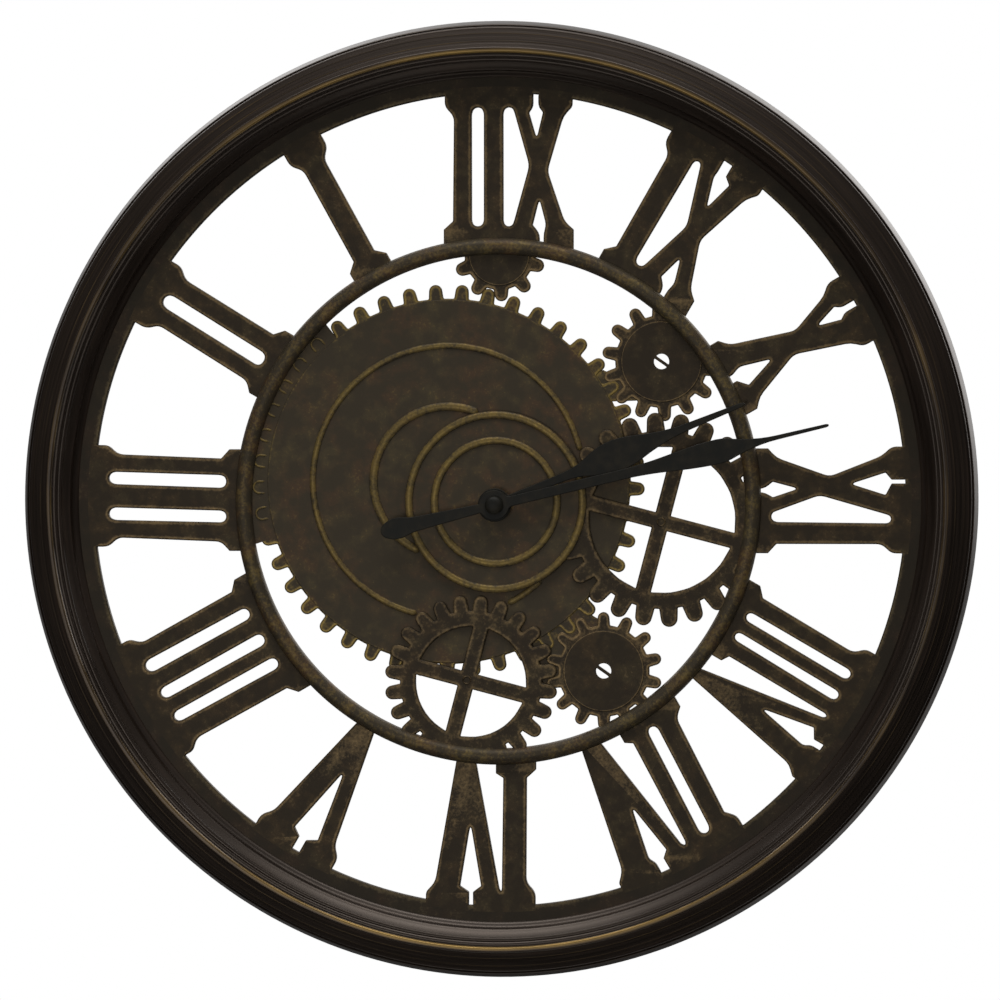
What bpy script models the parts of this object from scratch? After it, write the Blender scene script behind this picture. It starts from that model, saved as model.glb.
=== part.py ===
"""Gear wall clock, 508 mm across: a moulded ring frame round an open cast dial.

The dial is seen through: twelve Roman numerals stand between the dial flange and the
chapter ring, and inside the ring lie a large gear, three small gears that mesh with it,
two spoked gears and a hub plate. A battery movement hangs behind the hub and turns two hands.
The numerals run anticlockwise and read mirrored, as this clock shows them.

Sizes are in millimetres. A shape is drawn with x to the right, y up and z forwards from the
wall, and its object is then turned so that z points along the world's -Y. The origin is the
hook on the wall, at the back of the frame under the top of the keyhole.
"""

import math

import bmesh
import bpy

MM = 0.001
GAP = 0.3
BORE_TURN = 7.0

# Frame: depths from the wall, and the widths of its mouldings from the outer side inwards
FRAME_RADIUS = 254.0
FRAME_DEPTH = 45.0
FRAME_SIDE = 20.0
FRAME_BACK_EDGE = 2.0
SHOULDER_WIDTH = 3.6
OGEE_WIDTH = 7.0
LIP_WIDTH = 5.4
BEAD_WIDTH = 4.6
COVE_WIDTH = 9.6
ROUND_STEPS = 60

# Open dial
DIAL_FACE = 24.0
FLANGE_THICKNESS = 4.0
FLANGE_OVERLAP = 9.2
FLANGE_REACH = 8.2
RING_RADIUS = 135.2
RING_WIDTH = 8.9
RING_CENTRE = (-0.1, -0.9)
RING_HEIGHT = 4.4
GEAR_THICKNESS = 3.0
SPOKED_THICKNESS = 2.3
DIAL_SCREWS = 6
DIAL_SCREW_LENGTH = 5.0
SCREW_SHANK_RADIUS = 1.4
SCREW_HEAD_RADIUS = 3.2
SCREW_HEAD_HEIGHT = 1.8
SCREW_HOLE_CLEARANCE = 0.3

# Numerals: how far the serifs, shoulders and slots stand in from the flange and from the ring
TOP_SERIF_DEPTH = 7.4
TOP_SHOULDER_DEPTH = 12.6
FOOT_SERIF_DEPTH = 7.9
FOOT_SHOULDER_DEPTH = 12.4
SERIF_OVERHANG = 4.9
SLOT_TOP_DEPTH = 7.6
SLOT_FOOT_DEPTH = 9.5
ARC_POINT_SPACING = 12.0

# Each stroke gives where its two edges stand at the top shoulder and at the foot shoulder:
# (top left, top right, foot left, foot right). A V or an X has a falling and a rising stroke,
# then the cut between its top serifs, and an X the cut between its foot serifs.
NUMERALS = {
    "numeral_12": (0, [
        ("I", (-23.3, -13.9, -23.8, -13.8)),
        ("I", (-7.4, 2.9, -7.4, 3.0)),
        ("X", (8.8, 16.6, 25.6, 35.3), (23.9, 34.7, 8.6, 18.5), (18.8, 21.5), (22.2, 24.3)),
    ]),
    "numeral_1": (1, [
        ("I", (-2.4, 10.3, -3.4, 9.2)),
    ]),
    "numeral_2": (2, [
        ("I", (-10.3, -0.5, -12.3, -2.4)),
        ("I", (7.0, 17.8, 5.1, 16.1)),
    ]),
    "numeral_3": (3, [
        ("I", (-20.4, -11.0, -22.5, -12.2)),
        ("I", (-4.4, 8.1, -6.0, 6.2)),
        ("I", (14.6, 24.0, 12.9, 21.8)),
    ]),
    "numeral_4": (4, [
        ("I", (-29.7, -17.4, -30.7, -18.8)),
        ("I", (-11.8, -3.3, -12.7, -4.4)),
        ("I", (2.6, 12.6, 1.9, 11.5)),
        ("I", (19.3, 29.0, 17.7, 28.4)),
    ]),
    "numeral_5": (5, [
        ("V", (-16.6, -7.4, -6.2, 1.7), (6.8, 20.8, -5.4, 7.6), (-2.0, 2.2)),
    ]),
    "numeral_6": (6, [
        ("I", (-15.1, -2.2, -15.4, -2.9)),
        ("V", (-0.1, 8.9, 10.1, 18.8), (20.1, 33.4, 10.4, 23.4), (13.2, 15.4)),
    ]),
    "numeral_7": (7, [
        ("I", (-21.5, -10.7, -24.3, -13.1)),
        ("I", (-4.9, 4.1, -7.4, 2.2)),
        ("V", (7.3, 15.1, 15.8, 24.6), (25.6, 41.0, 13.7, 29.4), (18.6, 23.4)),
    ]),
    "numeral_8": (8, [
        ("I", (-24.4, -15.4, -25.3, -15.6)),
        ("I", (-10.0, -2.6, -10.7, -3.4)),
        ("I", (2.6, 10.9, 1.2, 10.3)),
        ("V", (13.9, 20.4, 22.3, 31.0), (31.4, 43.6, 19.7, 31.8), (25.8, 29.2)),
    ]),
    "numeral_9": (9, [
        ("X", (-23.4, -14.5, -1.5, 5.8), (-2.8, 7.6, -22.4, -9.6), (-10.8, -8.8), (-5.9, -4.1)),
        ("I", (12.2, 23.2, 11.6, 23.2)),
    ]),
    "numeral_10": (10, [
        ("X", (-7.0, 0.7, 13.7, 22.0), (8.3, 21.5, -9.6, 2.9), (2.9, 6.0), (5.1, 8.8)),
    ]),
    "numeral_11": (11, [
        ("I", (-13.0, 0.5, -12.7, -0.2)),
        ("X", (4.8, 13.7, 23.8, 32.7), (23.0, 34.3, 5.6, 16.0), (14.2, 19.2), (19.9, 22.5)),
    ]),
}

# Show gears: centre from the dial's centre, teeth, root, tip, tooth width at its foot, clockwise turn
MAIN_GEAR = {"at": (-26.4, 9.7), "teeth": 45, "root": 96.9, "tip": 104.4, "tooth": 7.8, "turn": 4.2}
WEB_FROM = 128.0
WEB_TO = 198.0
WEB_DROP = 0.5
# The two webs that fill the gaps where the large gear meets the upper and the under small gear
WEB_UPPER = [
    (55.9, 68.8), (57.9, 67.7), (64.9, 69.5), (78.2, 53.6), (74.6, 52.5), (61.0, 52.1), (54.3, 51.5),
    (50.1, 63.2),
]
WEB_UNDER = [
    (50.7, -61.7), (53.3, -62.9), (54.3, -74.6), (35.7, -101.1), (34.3, -99.5), (30.3, -99.7),
    (19.5, -100.1), (19.6, -90.5), (17.1, -82.6), (11.3, -74.6), (33.1, -53.4), (43.7, -54.5),
]
GEAR_RIGHT = {"at": (87.3, -10.5), "teeth": 24, "root": 47.2, "tip": 56.8, "tooth": 9.9, "turn": 10.9}
GEAR_LOWER = {"at": (-14.1, -96.5), "teeth": 24, "root": 37.8, "tip": 46.0, "tooth": 8.3, "turn": 7.1}
GEAR_TOP = {"at": (0.8, 129.6), "teeth": 10, "root": 18.5, "tip": 24.5, "tooth": 7.9, "turn": 33.2}
GEAR_UPPER = {"at": (86.8, 73.2), "teeth": 14, "root": 24.5, "tip": 31.7, "tooth": 7.3, "turn": 22.3}
GEAR_UNDER = {"at": (56.2, -90.6), "teeth": 14, "root": 24.3, "tip": 31.2, "tooth": 6.9, "turn": -0.2}
TOOTH_TAPER = 0.9
WINDOW_RIGHT_RADIUS = 38.8
WINDOW_LOWER_RADIUS = 29.4
BOSS_RIGHT = (-0.5, -1.0)
BOSS_LOWER = (-2.1, 1.0)
SPOKE_WIDTH = 8.4
SPOKE_TURN = 14.7
SMALL_HOLE_RADIUS = 4.2
SMALL_BAR_WIDTH = 1.6
SMALL_BAR_TURN = -35.0

# Raised rings on the large gear and on the hub plate
RELIEF_OUTER_RADIUS = 72.0
RELIEF_INNER_RADIUS = 39.7
RELIEF_WIDTH = 3.0
RELIEF_HEIGHT = 1.0
HUB_PLATE_CENTRE = (-0.9, -1.1)
HUB_PLATE_RADIUS = 48.2
HUB_PLATE_THICKNESS = 2.1
HUB_BEAD_OUTER_RADIUS = 46.1
HUB_BEAD_INNER_RADIUS = 32.6
HUB_BEAD_WIDTH = 3.6
HUB_BEAD_HEIGHT = 1.6

# Hands: the shaft stands a little below and left of the dial's centre
SHAFT_AT = (-1.1, -2.7)
HAND_THICKNESS = 1.2
HAND_CLEARANCE = 1.3
MINUTE_TURN = -76.5
HOUR_TURN = -67.9
MINUTE_BOSS_RADIUS = 8.2
HOUR_BOSS_RADIUS = 9.0
HAND_CAP_RADIUS = 4.8
HAND_CAP_HEIGHT = 3.2
# Distance from the shaft and half width there
MINUTE_OUTLINE = [
    (8.0, 3.0), (40.0, 2.7), (74.0, 2.7), (86.0, 3.4), (97.0, 4.7), (106.0, 5.7), (117.0, 6.5),
    (125.0, 6.5), (131.0, 4.6), (140.5, 2.3), (149.0, 1.25), (180.3, 0.9), (181.4, 0.45),
]
MINUTE_TAIL = [
    (8.0, 2.9), (40.0, 2.4), (45.5, 4.0), (51.0, 5.8), (56.5, 5.4), (60.5, 3.2), (61.8, 1.2),
]
HOUR_OUTLINE = [
    (8.0, 3.0), (40.0, 2.2), (49.0, 3.2), (56.0, 6.2), (63.0, 8.3), (71.0, 8.7), (79.0, 7.5),
    (87.0, 5.1), (98.0, 2.9), (106.0, 2.1), (140.8, 1.2), (142.6, 0.6),
]

# Movement
CASE_SIDE = 56.0
CASE_DEPTH = 14.7
CASE_WALL = 1.2
COVER_THICKNESS = 1.2
GASKET_THICKNESS = 0.7
GASKET_RADIUS = 14.0
BUSHING_RADIUS = 4.0
RUNNING = 0.3
MINUTE_ARBOR_RADIUS = 1.6
ARBOR_FOOT_RADIUS = 1.1
HOUR_TUBE_WALL = 0.7
WASHER_THICKNESS = 0.5
WASHER_RADIUS = 7.0
NUT_ACROSS_FLATS = 11.0
NUT_THICKNESS = 2.2
BATTERY_RADIUS = 7.2
BATTERY_LENGTH = 49.5
BATTERY_NUB_RADIUS = 2.7
BATTERY_NUB_LENGTH = 1.0
BAY_HEIGHT = 15.2
BAY_WALL = 1.0
CONTACT_THICKNESS = 1.0
CONTACT_WIDTH = 9.0
KNOB_RADIUS = 7.4
KNOB_THICKNESS = 2.2
KNOB_STEM_RADIUS = 1.2
POST_RADIUS = 0.4
POST_CLEARANCE = 0.15
WHEEL_THICKNESS = 0.7

# Going train from the rotor to the minute wheel, and motion work from there to the hour wheel
ROTOR_LEAVES = 6
INTERMEDIATE_TEETH = 30
INTERMEDIATE_LEAVES = 6
SECOND_TEETH = 36
SECOND_LEAVES = 6
THIRD_TEETH = 45
THIRD_LEAVES = 6
CENTRE_TEETH = 48
CANNON_LEAVES = 8
TRANSFER_TEETH = 24
TRANSFER_LEAVES = 6
HOUR_TEETH = 24
KNOB_LEAVES = 8
ROTOR_MODULE = 0.32
INTERMEDIATE_MODULE = 0.36
SECOND_MODULE = 0.36
THIRD_MODULE = 0.34
CANNON_MODULE = 0.45
HOUR_MODULE = 0.48
INTERMEDIATE_BEARING = -20.0
ROTOR_BEARING = 20.0
THIRD_BEARING = 170.0
TRANSFER_BEARING = 60.0
KNOB_BEARING = 100.0
MAGNET_RADIUS = 2.2
STATOR_THICKNESS = 0.8
COIL_FLANGE_RADIUS = 2.4
BOARD_SIZE = (17.0, 13.0, 1.0)
BOARD_AT = (-16.0, 18.6)
CRYSTAL_RADIUS = 1.0
CRYSTAL_LENGTH = 6.0

# Hanger
HANGER_LENGTH = 54.0
HANGER_WIDTH = 14.0
HANGER_THICKNESS = 1.2
HANGER_SCREW_SPACING = 40.0
HANGER_SCREW_LENGTH = 10.0
KEYHOLE_RADIUS = 3.6
KEYHOLE_SLOT_WIDTH = 3.8
KEYHOLE_DROP = 4.8
KEYHOLE_CAVITY_DEPTH = 9.0

# Worked out from the sizes above. The numerals' levels are heights above the dial's centre along
# the numeral's own upright line
BEAD_STEP_RADIUS = FRAME_RADIUS - SHOULDER_WIDTH
OGEE_STEP_RADIUS = BEAD_STEP_RADIUS - OGEE_WIDTH
LIP_RADIUS = OGEE_STEP_RADIUS - LIP_WIDTH
COVE_STEP_RADIUS = LIP_RADIUS - BEAD_WIDTH
COVE_FOOT_RADIUS = COVE_STEP_RADIUS - COVE_WIDTH
FLANGE_RADIUS = COVE_FOOT_RADIUS + FLANGE_OVERLAP
SCREW_CIRCLE_RADIUS = COVE_FOOT_RADIUS + FLANGE_OVERLAP / 2
WINDOW_RADIUS = COVE_FOOT_RADIUS - FLANGE_REACH
TOP_SERIF_LEVEL = WINDOW_RADIUS - TOP_SERIF_DEPTH
TOP_SHOULDER_LEVEL = WINDOW_RADIUS - TOP_SHOULDER_DEPTH
FOOT_SERIF_LEVEL = RING_RADIUS + FOOT_SERIF_DEPTH
FOOT_SHOULDER_LEVEL = RING_RADIUS + FOOT_SHOULDER_DEPTH
SLOT_TOP_LEVEL = WINDOW_RADIUS - SLOT_TOP_DEPTH
SLOT_FOOT_LEVEL = RING_RADIUS + SLOT_FOOT_DEPTH
FLANGE_BACK = DIAL_FACE - FLANGE_THICKNESS
GEAR_BACK = DIAL_FACE - GEAR_THICKNESS
RAISED_BACK = DIAL_FACE + GAP
SPOKED_FRONT = RAISED_BACK + SPOKED_THICKNESS
RING_FRONT = RAISED_BACK + RING_HEIGHT
HUB_FACE = RAISED_BACK + HUB_PLATE_THICKNESS
UNDER_RING_RADIUS = RING_RADIUS
WASHER_BACK = HUB_FACE + GAP
NUT_BACK = WASHER_BACK + WASHER_THICKNESS + GAP
BUSHING_FRONT = NUT_BACK + NUT_THICKNESS + 0.8
HOUR_HAND_BACK = max(BUSHING_FRONT, RING_FRONT) + 0.7
HOUR_TUBE_FRONT = HOUR_HAND_BACK + HAND_THICKNESS + GAP
MINUTE_HAND_BACK = HOUR_TUBE_FRONT + HAND_CLEARANCE
ARBOR_FRONT = MINUTE_HAND_BACK + HAND_THICKNESS + GAP
CAP_BACK = ARBOR_FRONT + GAP
GASKET_FRONT = GEAR_BACK - GAP
COVER_FRONT = GASKET_FRONT - GASKET_THICKNESS - GAP
COVER_BACK = COVER_FRONT - COVER_THICKNESS
CASE_FRONT = COVER_BACK - GAP
CASE_REAR = CASE_FRONT - CASE_DEPTH
CASE_FLOOR = CASE_REAR + CASE_WALL
HALF_CASE = CASE_SIDE / 2
HOUR_TUBE_BORE = MINUTE_ARBOR_RADIUS + RUNNING
HOUR_TUBE_RADIUS = HOUR_TUBE_BORE + HOUR_TUBE_WALL
BUSHING_BORE = HOUR_TUBE_RADIUS + RUNNING
SHAFT_HOLE_RADIUS = BUSHING_RADIUS + GAP
POST_BORE = POST_RADIUS + POST_CLEARANCE
BAY_FLOOR_Y = -HALF_CASE + CASE_WALL
BAY_TOP_Y = BAY_FLOOR_Y + BAY_HEIGHT
HANGER_BACK = GAP + SCREW_HEAD_HEIGHT + GAP
HANGER_RADIUS = (FLANGE_RADIUS + GAP + FRAME_RADIUS - FRAME_BACK_EDGE) / 2
HOOK_RADIUS = HANGER_RADIUS + KEYHOLE_DROP / 2
CENTRE_Z = -HOOK_RADIUS

COLOURS = {
    "frame": ((0.075, 0.050, 0.034), 0.45, 0.35),
    "bronze": ((0.235, 0.175, 0.100), 0.42, 0.75),
    "hands": ((0.035, 0.042, 0.038), 0.50, 0.30),
    "steel": ((0.60, 0.60, 0.58), 0.32, 1.0),
    "brass": ((0.72, 0.52, 0.22), 0.30, 1.0),
    "black_plastic": ((0.020, 0.020, 0.022), 0.50, 0.0),
    "white_plastic": ((0.80, 0.80, 0.78), 0.45, 0.0),
    "rubber": ((0.030, 0.030, 0.030), 0.85, 0.0),
    "battery": ((0.10, 0.16, 0.12), 0.35, 0.3),
    "copper": ((0.60, 0.26, 0.12), 0.35, 1.0),
    "board": ((0.05, 0.18, 0.09), 0.50, 0.0),
}


def clear_scene():
    for old in list(bpy.data.objects):
        bpy.data.objects.remove(old, do_unlink=True)


def new_collection(name):
    group = bpy.data.collections.new(name)
    bpy.context.scene.collection.children.link(group)
    return group


def material(key):
    """The Principled material of one finish, made once."""
    found = bpy.data.materials.get(key)
    if found:
        return found
    colour, roughness, metallic = COLOURS[key]
    made = bpy.data.materials.new(key)
    made.use_nodes = True
    shader = made.node_tree.nodes["Principled BSDF"]
    shader.inputs["Base Color"].default_value = (*colour, 1.0)
    shader.inputs["Roughness"].default_value = roughness
    shader.inputs["Metallic"].default_value = metallic
    return made


def place(mesh, name, finish=None, at=(0.0, 0.0), turn=0.0, level=0.0):
    """An object with its mesh facing the room, at a place on the dial, turned anticlockwise."""
    item = bpy.data.objects.new(name, mesh)
    item.location = (at[0] * MM, -level * MM, CENTRE_Z * MM + at[1] * MM)
    item.rotation_euler = (math.pi / 2, -math.radians(turn), 0.0)
    if finish:
        mesh.materials.append(material(finish))
        parts.objects.link(item)
    else:
        item.hide_render = True
        item.display_type = "WIRE"
        cutters.objects.link(item)
    return item


def smooth(item, angle=35.0):
    item.data.shade_smooth()
    item.data.set_sharp_from_angle(angle=math.radians(angle))


# Flat and turned shapes


def plate_mesh(name, loops, back, front):
    """A flat piece: an outline and its holes, filled and thickened from back to front."""
    curve = bpy.data.curves.new(name, "CURVE")
    curve.dimensions = "2D"
    curve.fill_mode = "BOTH"
    curve.extrude = (front - back) / 2 * MM
    for loop in loops:
        spline = curve.splines.new("POLY")
        spline.points.add(len(loop) - 1)
        for point, (x, y) in zip(spline.points, loop):
            point.co = (x * MM, y * MM, 0.0, 1.0)
        spline.use_cyclic_u = True
    holder = bpy.data.objects.new(name, curve)
    bpy.context.scene.collection.objects.link(holder)
    graph = bpy.context.evaluated_depsgraph_get()
    mesh = bpy.data.meshes.new_from_object(holder.evaluated_get(graph))
    bpy.data.objects.remove(holder, do_unlink=True)
    bpy.data.curves.remove(curve)
    mesh.materials.clear()
    work = bmesh.new()
    work.from_mesh(mesh)
    bmesh.ops.remove_doubles(work, verts=work.verts, dist=0.01 * MM)
    bmesh.ops.translate(work, verts=work.verts, vec=(0.0, 0.0, (front + back) / 2 * MM))
    bmesh.ops.recalc_face_normals(work, faces=work.faces)
    work.to_mesh(mesh)
    work.free()
    return mesh


def round_mesh(name, radius, back, front, steps, at=(0.0, 0.0)):
    """A solid round bar from back to front."""
    work = bmesh.new()
    bmesh.ops.create_cone(
        work, cap_ends=True, segments=steps, radius1=radius * MM, radius2=radius * MM,
        depth=(front - back) * MM,
    )
    bmesh.ops.translate(work, verts=work.verts, vec=(at[0] * MM, at[1] * MM, (front + back) / 2 * MM))
    mesh = bpy.data.meshes.new(name)
    work.to_mesh(mesh)
    work.free()
    return mesh


def box_mesh(name, low, high):
    """A box between two corners."""
    work = bmesh.new()
    bmesh.ops.create_cube(work, size=1.0)
    for corner in work.verts:
        for axis in range(3):
            corner.co[axis] = (low[axis] + (corner.co[axis] + 0.5) * (high[axis] - low[axis])) * MM
    mesh = bpy.data.meshes.new(name)
    work.to_mesh(mesh)
    work.free()
    return mesh


def turned(name, profile, steps, finish=None, at=(0.0, 0.0), ring=False):
    """A turned piece: a profile of radius and depth, run from front to back down its outer side."""
    mesh = bpy.data.meshes.new(name)
    points = [(radius * MM, 0.0, depth * MM) for radius, depth in profile]
    edges = [(index, index + 1) for index in range(len(points) - 1)]
    if ring:
        edges.append((len(points) - 1, 0))
    mesh.from_pydata(points, edges, [])
    item = place(mesh, name, finish, at)
    screw = item.modifiers.new("turn", "SCREW")
    screw.axis = "Z"
    screw.angle = 2 * math.pi
    screw.steps = steps
    screw.render_steps = steps
    screw.use_merge_vertices = True
    screw.merge_threshold = 0.00001
    screw.use_smooth_shade = True
    return item


def combine(item, other, operation):
    step = item.modifiers.new(operation.lower(), "BOOLEAN")
    step.operation = operation
    step.object = other
    step.solver = "EXACT"


def cut(item, tool):
    combine(item, tool, "DIFFERENCE")


def join(item, tool):
    combine(item, tool, "UNION")


def bore(item, radius, back, front, at=(0.0, 0.0), steps=16):
    """Drills a round hole through an object, at a place on the dial."""
    label = item.name + "_bore"
    tool = round_mesh(label, radius, back - 1.0, front + 1.0, steps)
    cut(item, place(tool, label, at=at, turn=BORE_TURN))


# Outlines


def arc(radius, start, end, count, centre=(0.0, 0.0)):
    """Points on an arc, in degrees anticlockwise from x."""
    points = []
    for index in range(count):
        angle = math.radians(start + (end - start) * index / (count - 1))
        points.append((centre[0] + radius * math.cos(angle), centre[1] + radius * math.sin(angle)))
    return points


def circle(radius, count, centre=(0.0, 0.0)):
    return arc(radius, 0.0, 360.0 * (count - 1) / count, count, centre)


def show_gear_outline(gear):
    """Straight-sided teeth with rounded tips, the first one pointing up."""
    points = []
    pitch = 2 * math.pi / gear["teeth"]
    half = gear["tooth"] / 2
    narrow = half * TOOTH_TAPER
    root = gear["root"]
    tip = gear["tip"]
    foot = math.sqrt(root * root - half * half)
    bend = tip - narrow * 0.6
    section = [(-half, foot), (-narrow, bend), (0.0, tip), (narrow, bend), (half, foot)]
    for index in range(gear["teeth"]):
        angle = -index * pitch
        turn_cos = math.cos(angle)
        turn_sin = math.sin(angle)
        for x, y in section:
            points.append((x * turn_cos - y * turn_sin, x * turn_sin + y * turn_cos))
    return points


def train_outline(teeth, module, leaf=False):
    """A small wheel's pointed teeth, or a pinion's blunt leaves, the first one pointing up."""
    pitch = 2 * math.pi / teeth
    middle = teeth * module / 2
    if leaf:
        section = [(-0.27, -1.2), (-0.13, 0.7), (0.13, 0.7), (0.27, -1.2)]
    else:
        section = [(-0.26, -1.15), (0.0, 0.9), (0.26, -1.15)]
    points = []
    for index in range(teeth):
        for share, height in section:
            angle = math.pi / 2 - (index + share) * pitch
            radius = middle + height * module
            points.append((radius * math.cos(angle), radius * math.sin(angle)))
    return points


def half_moons(radius, bar, turn):
    """Two openings left in a round hole by a bar across it."""
    half = bar / 2
    start = math.degrees(math.asin(half / radius))
    moons = []
    for side in (0.0, 180.0):
        moons.append(arc(radius, turn + side + start, turn + side + 180.0 - start, 7))
    return moons


def spoke_windows(radius, width, turn, boss):
    """Four windows between four crossed spokes, which cross at the boss."""
    half = width / 2
    windows = []
    for quarter in range(4):
        base = turn + 90.0 * quarter
        along, across = rotate([boss], -base)[0]
        start = math.degrees(math.asin((across + half) / radius))
        end = math.degrees(math.acos((along + half) / radius))
        corner = rotate([(along + half, across + half)], base)[0]
        windows.append([corner] + arc(radius, base + start, base + end, 6))
    return windows


# Numerals


def edge_x(edge, level):
    """Where a straight edge stands at a level, from its places at the two shoulders."""
    share = (TOP_SHOULDER_LEVEL - level) / (TOP_SHOULDER_LEVEL - FOOT_SHOULDER_LEVEL)
    return edge[0] + (edge[1] - edge[0]) * share


def crossing(first, second):
    """The point where two edges cross."""
    share = (second[0] - first[0]) / ((first[1] - first[0]) - (second[1] - second[0]))
    level = TOP_SHOULDER_LEVEL - share * (TOP_SHOULDER_LEVEL - FOOT_SHOULDER_LEVEL)
    return (first[0] + (first[1] - first[0]) * share, level)


def left_edge(stroke):
    return (stroke[0], stroke[2])


def right_edge(stroke):
    return (stroke[1], stroke[3])


def left_side(letter):
    """A letter's left side from foot to top, between the shoulders."""
    falling = letter[1]
    foot = (falling[2], FOOT_SHOULDER_LEVEL)
    top = (falling[0], TOP_SHOULDER_LEVEL)
    if letter[0] == "X":
        rising = letter[2]
        return [(rising[2], FOOT_SHOULDER_LEVEL), crossing(left_edge(falling), left_edge(rising)), top]
    return [foot, top]


def right_side(letter):
    """A letter's right side from top to foot, between the shoulders."""
    if letter[0] == "I":
        stroke = letter[1]
        return [(stroke[1], TOP_SHOULDER_LEVEL), (stroke[3], FOOT_SHOULDER_LEVEL)]
    falling, rising = letter[1], letter[2]
    top = (rising[1], TOP_SHOULDER_LEVEL)
    if letter[0] == "X":
        return [top, crossing(right_edge(falling), right_edge(rising)), (falling[3], FOOT_SHOULDER_LEVEL)]
    return [top, (rising[3], FOOT_SHOULDER_LEVEL)]


def on_arc(x, radius):
    return (x, math.sqrt(radius * radius - x * x))


def arc_run(x_from, x_to, radius):
    """Points along a dial arc from one x to another, both ends included."""
    count = max(2, int(abs(x_to - x_from) / ARC_POINT_SPACING) + 2)
    return [on_arc(x_from + (x_to - x_from) * index / (count - 1), radius) for index in range(count)]


def top_notch(letter, radius):
    """The hole between the arms of a V or an X, with the cut between its serifs, left to right."""
    falling, rising, slit = letter[1], letter[2], letter[3]
    return [
        on_arc(slit[0], radius), (slit[0], TOP_SERIF_LEVEL),
        (falling[1], TOP_SHOULDER_LEVEL + 2.0), crossing(right_edge(falling), left_edge(rising)),
        (rising[0], TOP_SHOULDER_LEVEL + 2.0),
        (slit[1], TOP_SERIF_LEVEL), on_arc(slit[1], radius),
    ]


def foot_notch(letter, radius):
    """The hole between the legs of an X, with the cut between its serifs, right to left."""
    falling, rising, slit = letter[1], letter[2], letter[4]
    return [
        on_arc(slit[1], radius), (slit[1], FOOT_SERIF_LEVEL - 2.0),
        (falling[2], FOOT_SHOULDER_LEVEL - 2.0), crossing(right_edge(rising), left_edge(falling)),
        (rising[3], FOOT_SHOULDER_LEVEL - 2.0),
        (slit[0], FOOT_SERIF_LEVEL - 2.0), on_arc(slit[0], radius),
    ]


def slot_between(before, after):
    """A closed slot between two letters, with rounded ends."""
    left = right_side(before)
    right = left_side(after)
    top_left, foot_left = left[0][0], left[-1][0]
    foot_right, top_right = right[0][0], right[-1][0]
    waist_left = left[1:-1]
    waist_right = right[1:-1]
    top_half = (top_right - top_left) / 2
    foot_half = (foot_right - foot_left) / 2
    rise = min(top_half, SLOT_TOP_LEVEL - TOP_SHOULDER_LEVEL)
    drop = min(foot_half, FOOT_SHOULDER_LEVEL - SLOT_FOOT_LEVEL)
    loop = [(foot_left, SLOT_FOOT_LEVEL + drop)]
    loop += list(reversed(waist_left))
    for share in (180.0, 135.0, 90.0, 45.0, 0.0):
        angle = math.radians(share)
        loop.append((top_left + top_half * (1 + math.cos(angle)),
                     SLOT_TOP_LEVEL - rise + rise * math.sin(angle)))
    loop += list(reversed(waist_right))
    for share in (0.0, 45.0, 90.0, 135.0):
        angle = math.radians(share)
        loop.append((foot_left + foot_half * (1 + math.cos(angle)),
                     SLOT_FOOT_LEVEL + drop - drop * math.sin(angle)))
    return loop


def numeral_loops(letters, foot_radius, top_radius):
    """The outline of one numeral and its closed slots."""
    first, last = letters[0], letters[-1]
    outer = []
    if first[0] == "V":
        outer.append(on_arc(edge_x(left_edge(first[1]), foot_radius), foot_radius))
    else:
        foot_x = left_side(first)[0][0]
        outer.append(on_arc(foot_x - SERIF_OVERHANG, foot_radius))
        outer.append((foot_x - SERIF_OVERHANG, FOOT_SERIF_LEVEL))
        outer.append(left_side(first)[0])
    outer += left_side(first)[1:]
    top_x = first[1][0] - SERIF_OVERHANG
    outer.append((top_x, TOP_SERIF_LEVEL))
    here = top_x
    for letter in letters:
        if letter[0] != "I":
            outer += arc_run(here, letter[3][0], top_radius)[:-1]
            outer += top_notch(letter, top_radius)
            here = letter[3][1]
    end_x = right_side(last)[0][0] + SERIF_OVERHANG
    run = arc_run(here, end_x, top_radius)
    outer += run if here == top_x else run[1:]
    outer.append((end_x, TOP_SERIF_LEVEL))
    outer += right_side(last)[:-1]
    if last[0] == "V":
        here = edge_x(right_edge(last[2]), foot_radius)
        outer.append(on_arc(here, foot_radius))
    else:
        foot_x = right_side(last)[-1][0]
        outer.append(right_side(last)[-1])
        outer.append((foot_x + SERIF_OVERHANG, FOOT_SERIF_LEVEL))
        here = foot_x + SERIF_OVERHANG
        outer.append(on_arc(here, foot_radius))
    slots = []
    for index in range(len(letters) - 1, -1, -1):
        letter = letters[index]
        if letter[0] == "X":
            outer += arc_run(here, letter[4][1], foot_radius)[1:-1]
            outer += foot_notch(letter, foot_radius)
            here = letter[4][0]
        if index == 0:
            continue
        before = letters[index - 1]
        if letter[0] == "V":
            apex_x = edge_x(left_edge(letter[1]), foot_radius)
            bar = right_edge(before[1])
            outer += arc_run(here, apex_x, foot_radius)[1:]
            outer.append((edge_x(left_edge(letter[1]), SLOT_TOP_LEVEL - 1.5), SLOT_TOP_LEVEL - 1.5))
            outer.append(((edge_x(left_edge(letter[1]), SLOT_TOP_LEVEL) + bar[0]) / 2, SLOT_TOP_LEVEL))
            outer.append((edge_x(bar, SLOT_TOP_LEVEL - 1.5), SLOT_TOP_LEVEL - 1.5))
            outer.append((bar[1], FOOT_SHOULDER_LEVEL))
            outer.append((bar[1] + SERIF_OVERHANG * 0.8, FOOT_SERIF_LEVEL + 2.0))
            here = bar[1] + SERIF_OVERHANG * 0.8
            outer.append(on_arc(here, foot_radius))
        else:
            slots.append(slot_between(before, letter))
    if first[0] != "V":
        left_x = left_side(first)[0][0] - SERIF_OVERHANG
        outer += arc_run(here, left_x, foot_radius)[1:-1]
    return [outer] + slots


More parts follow.
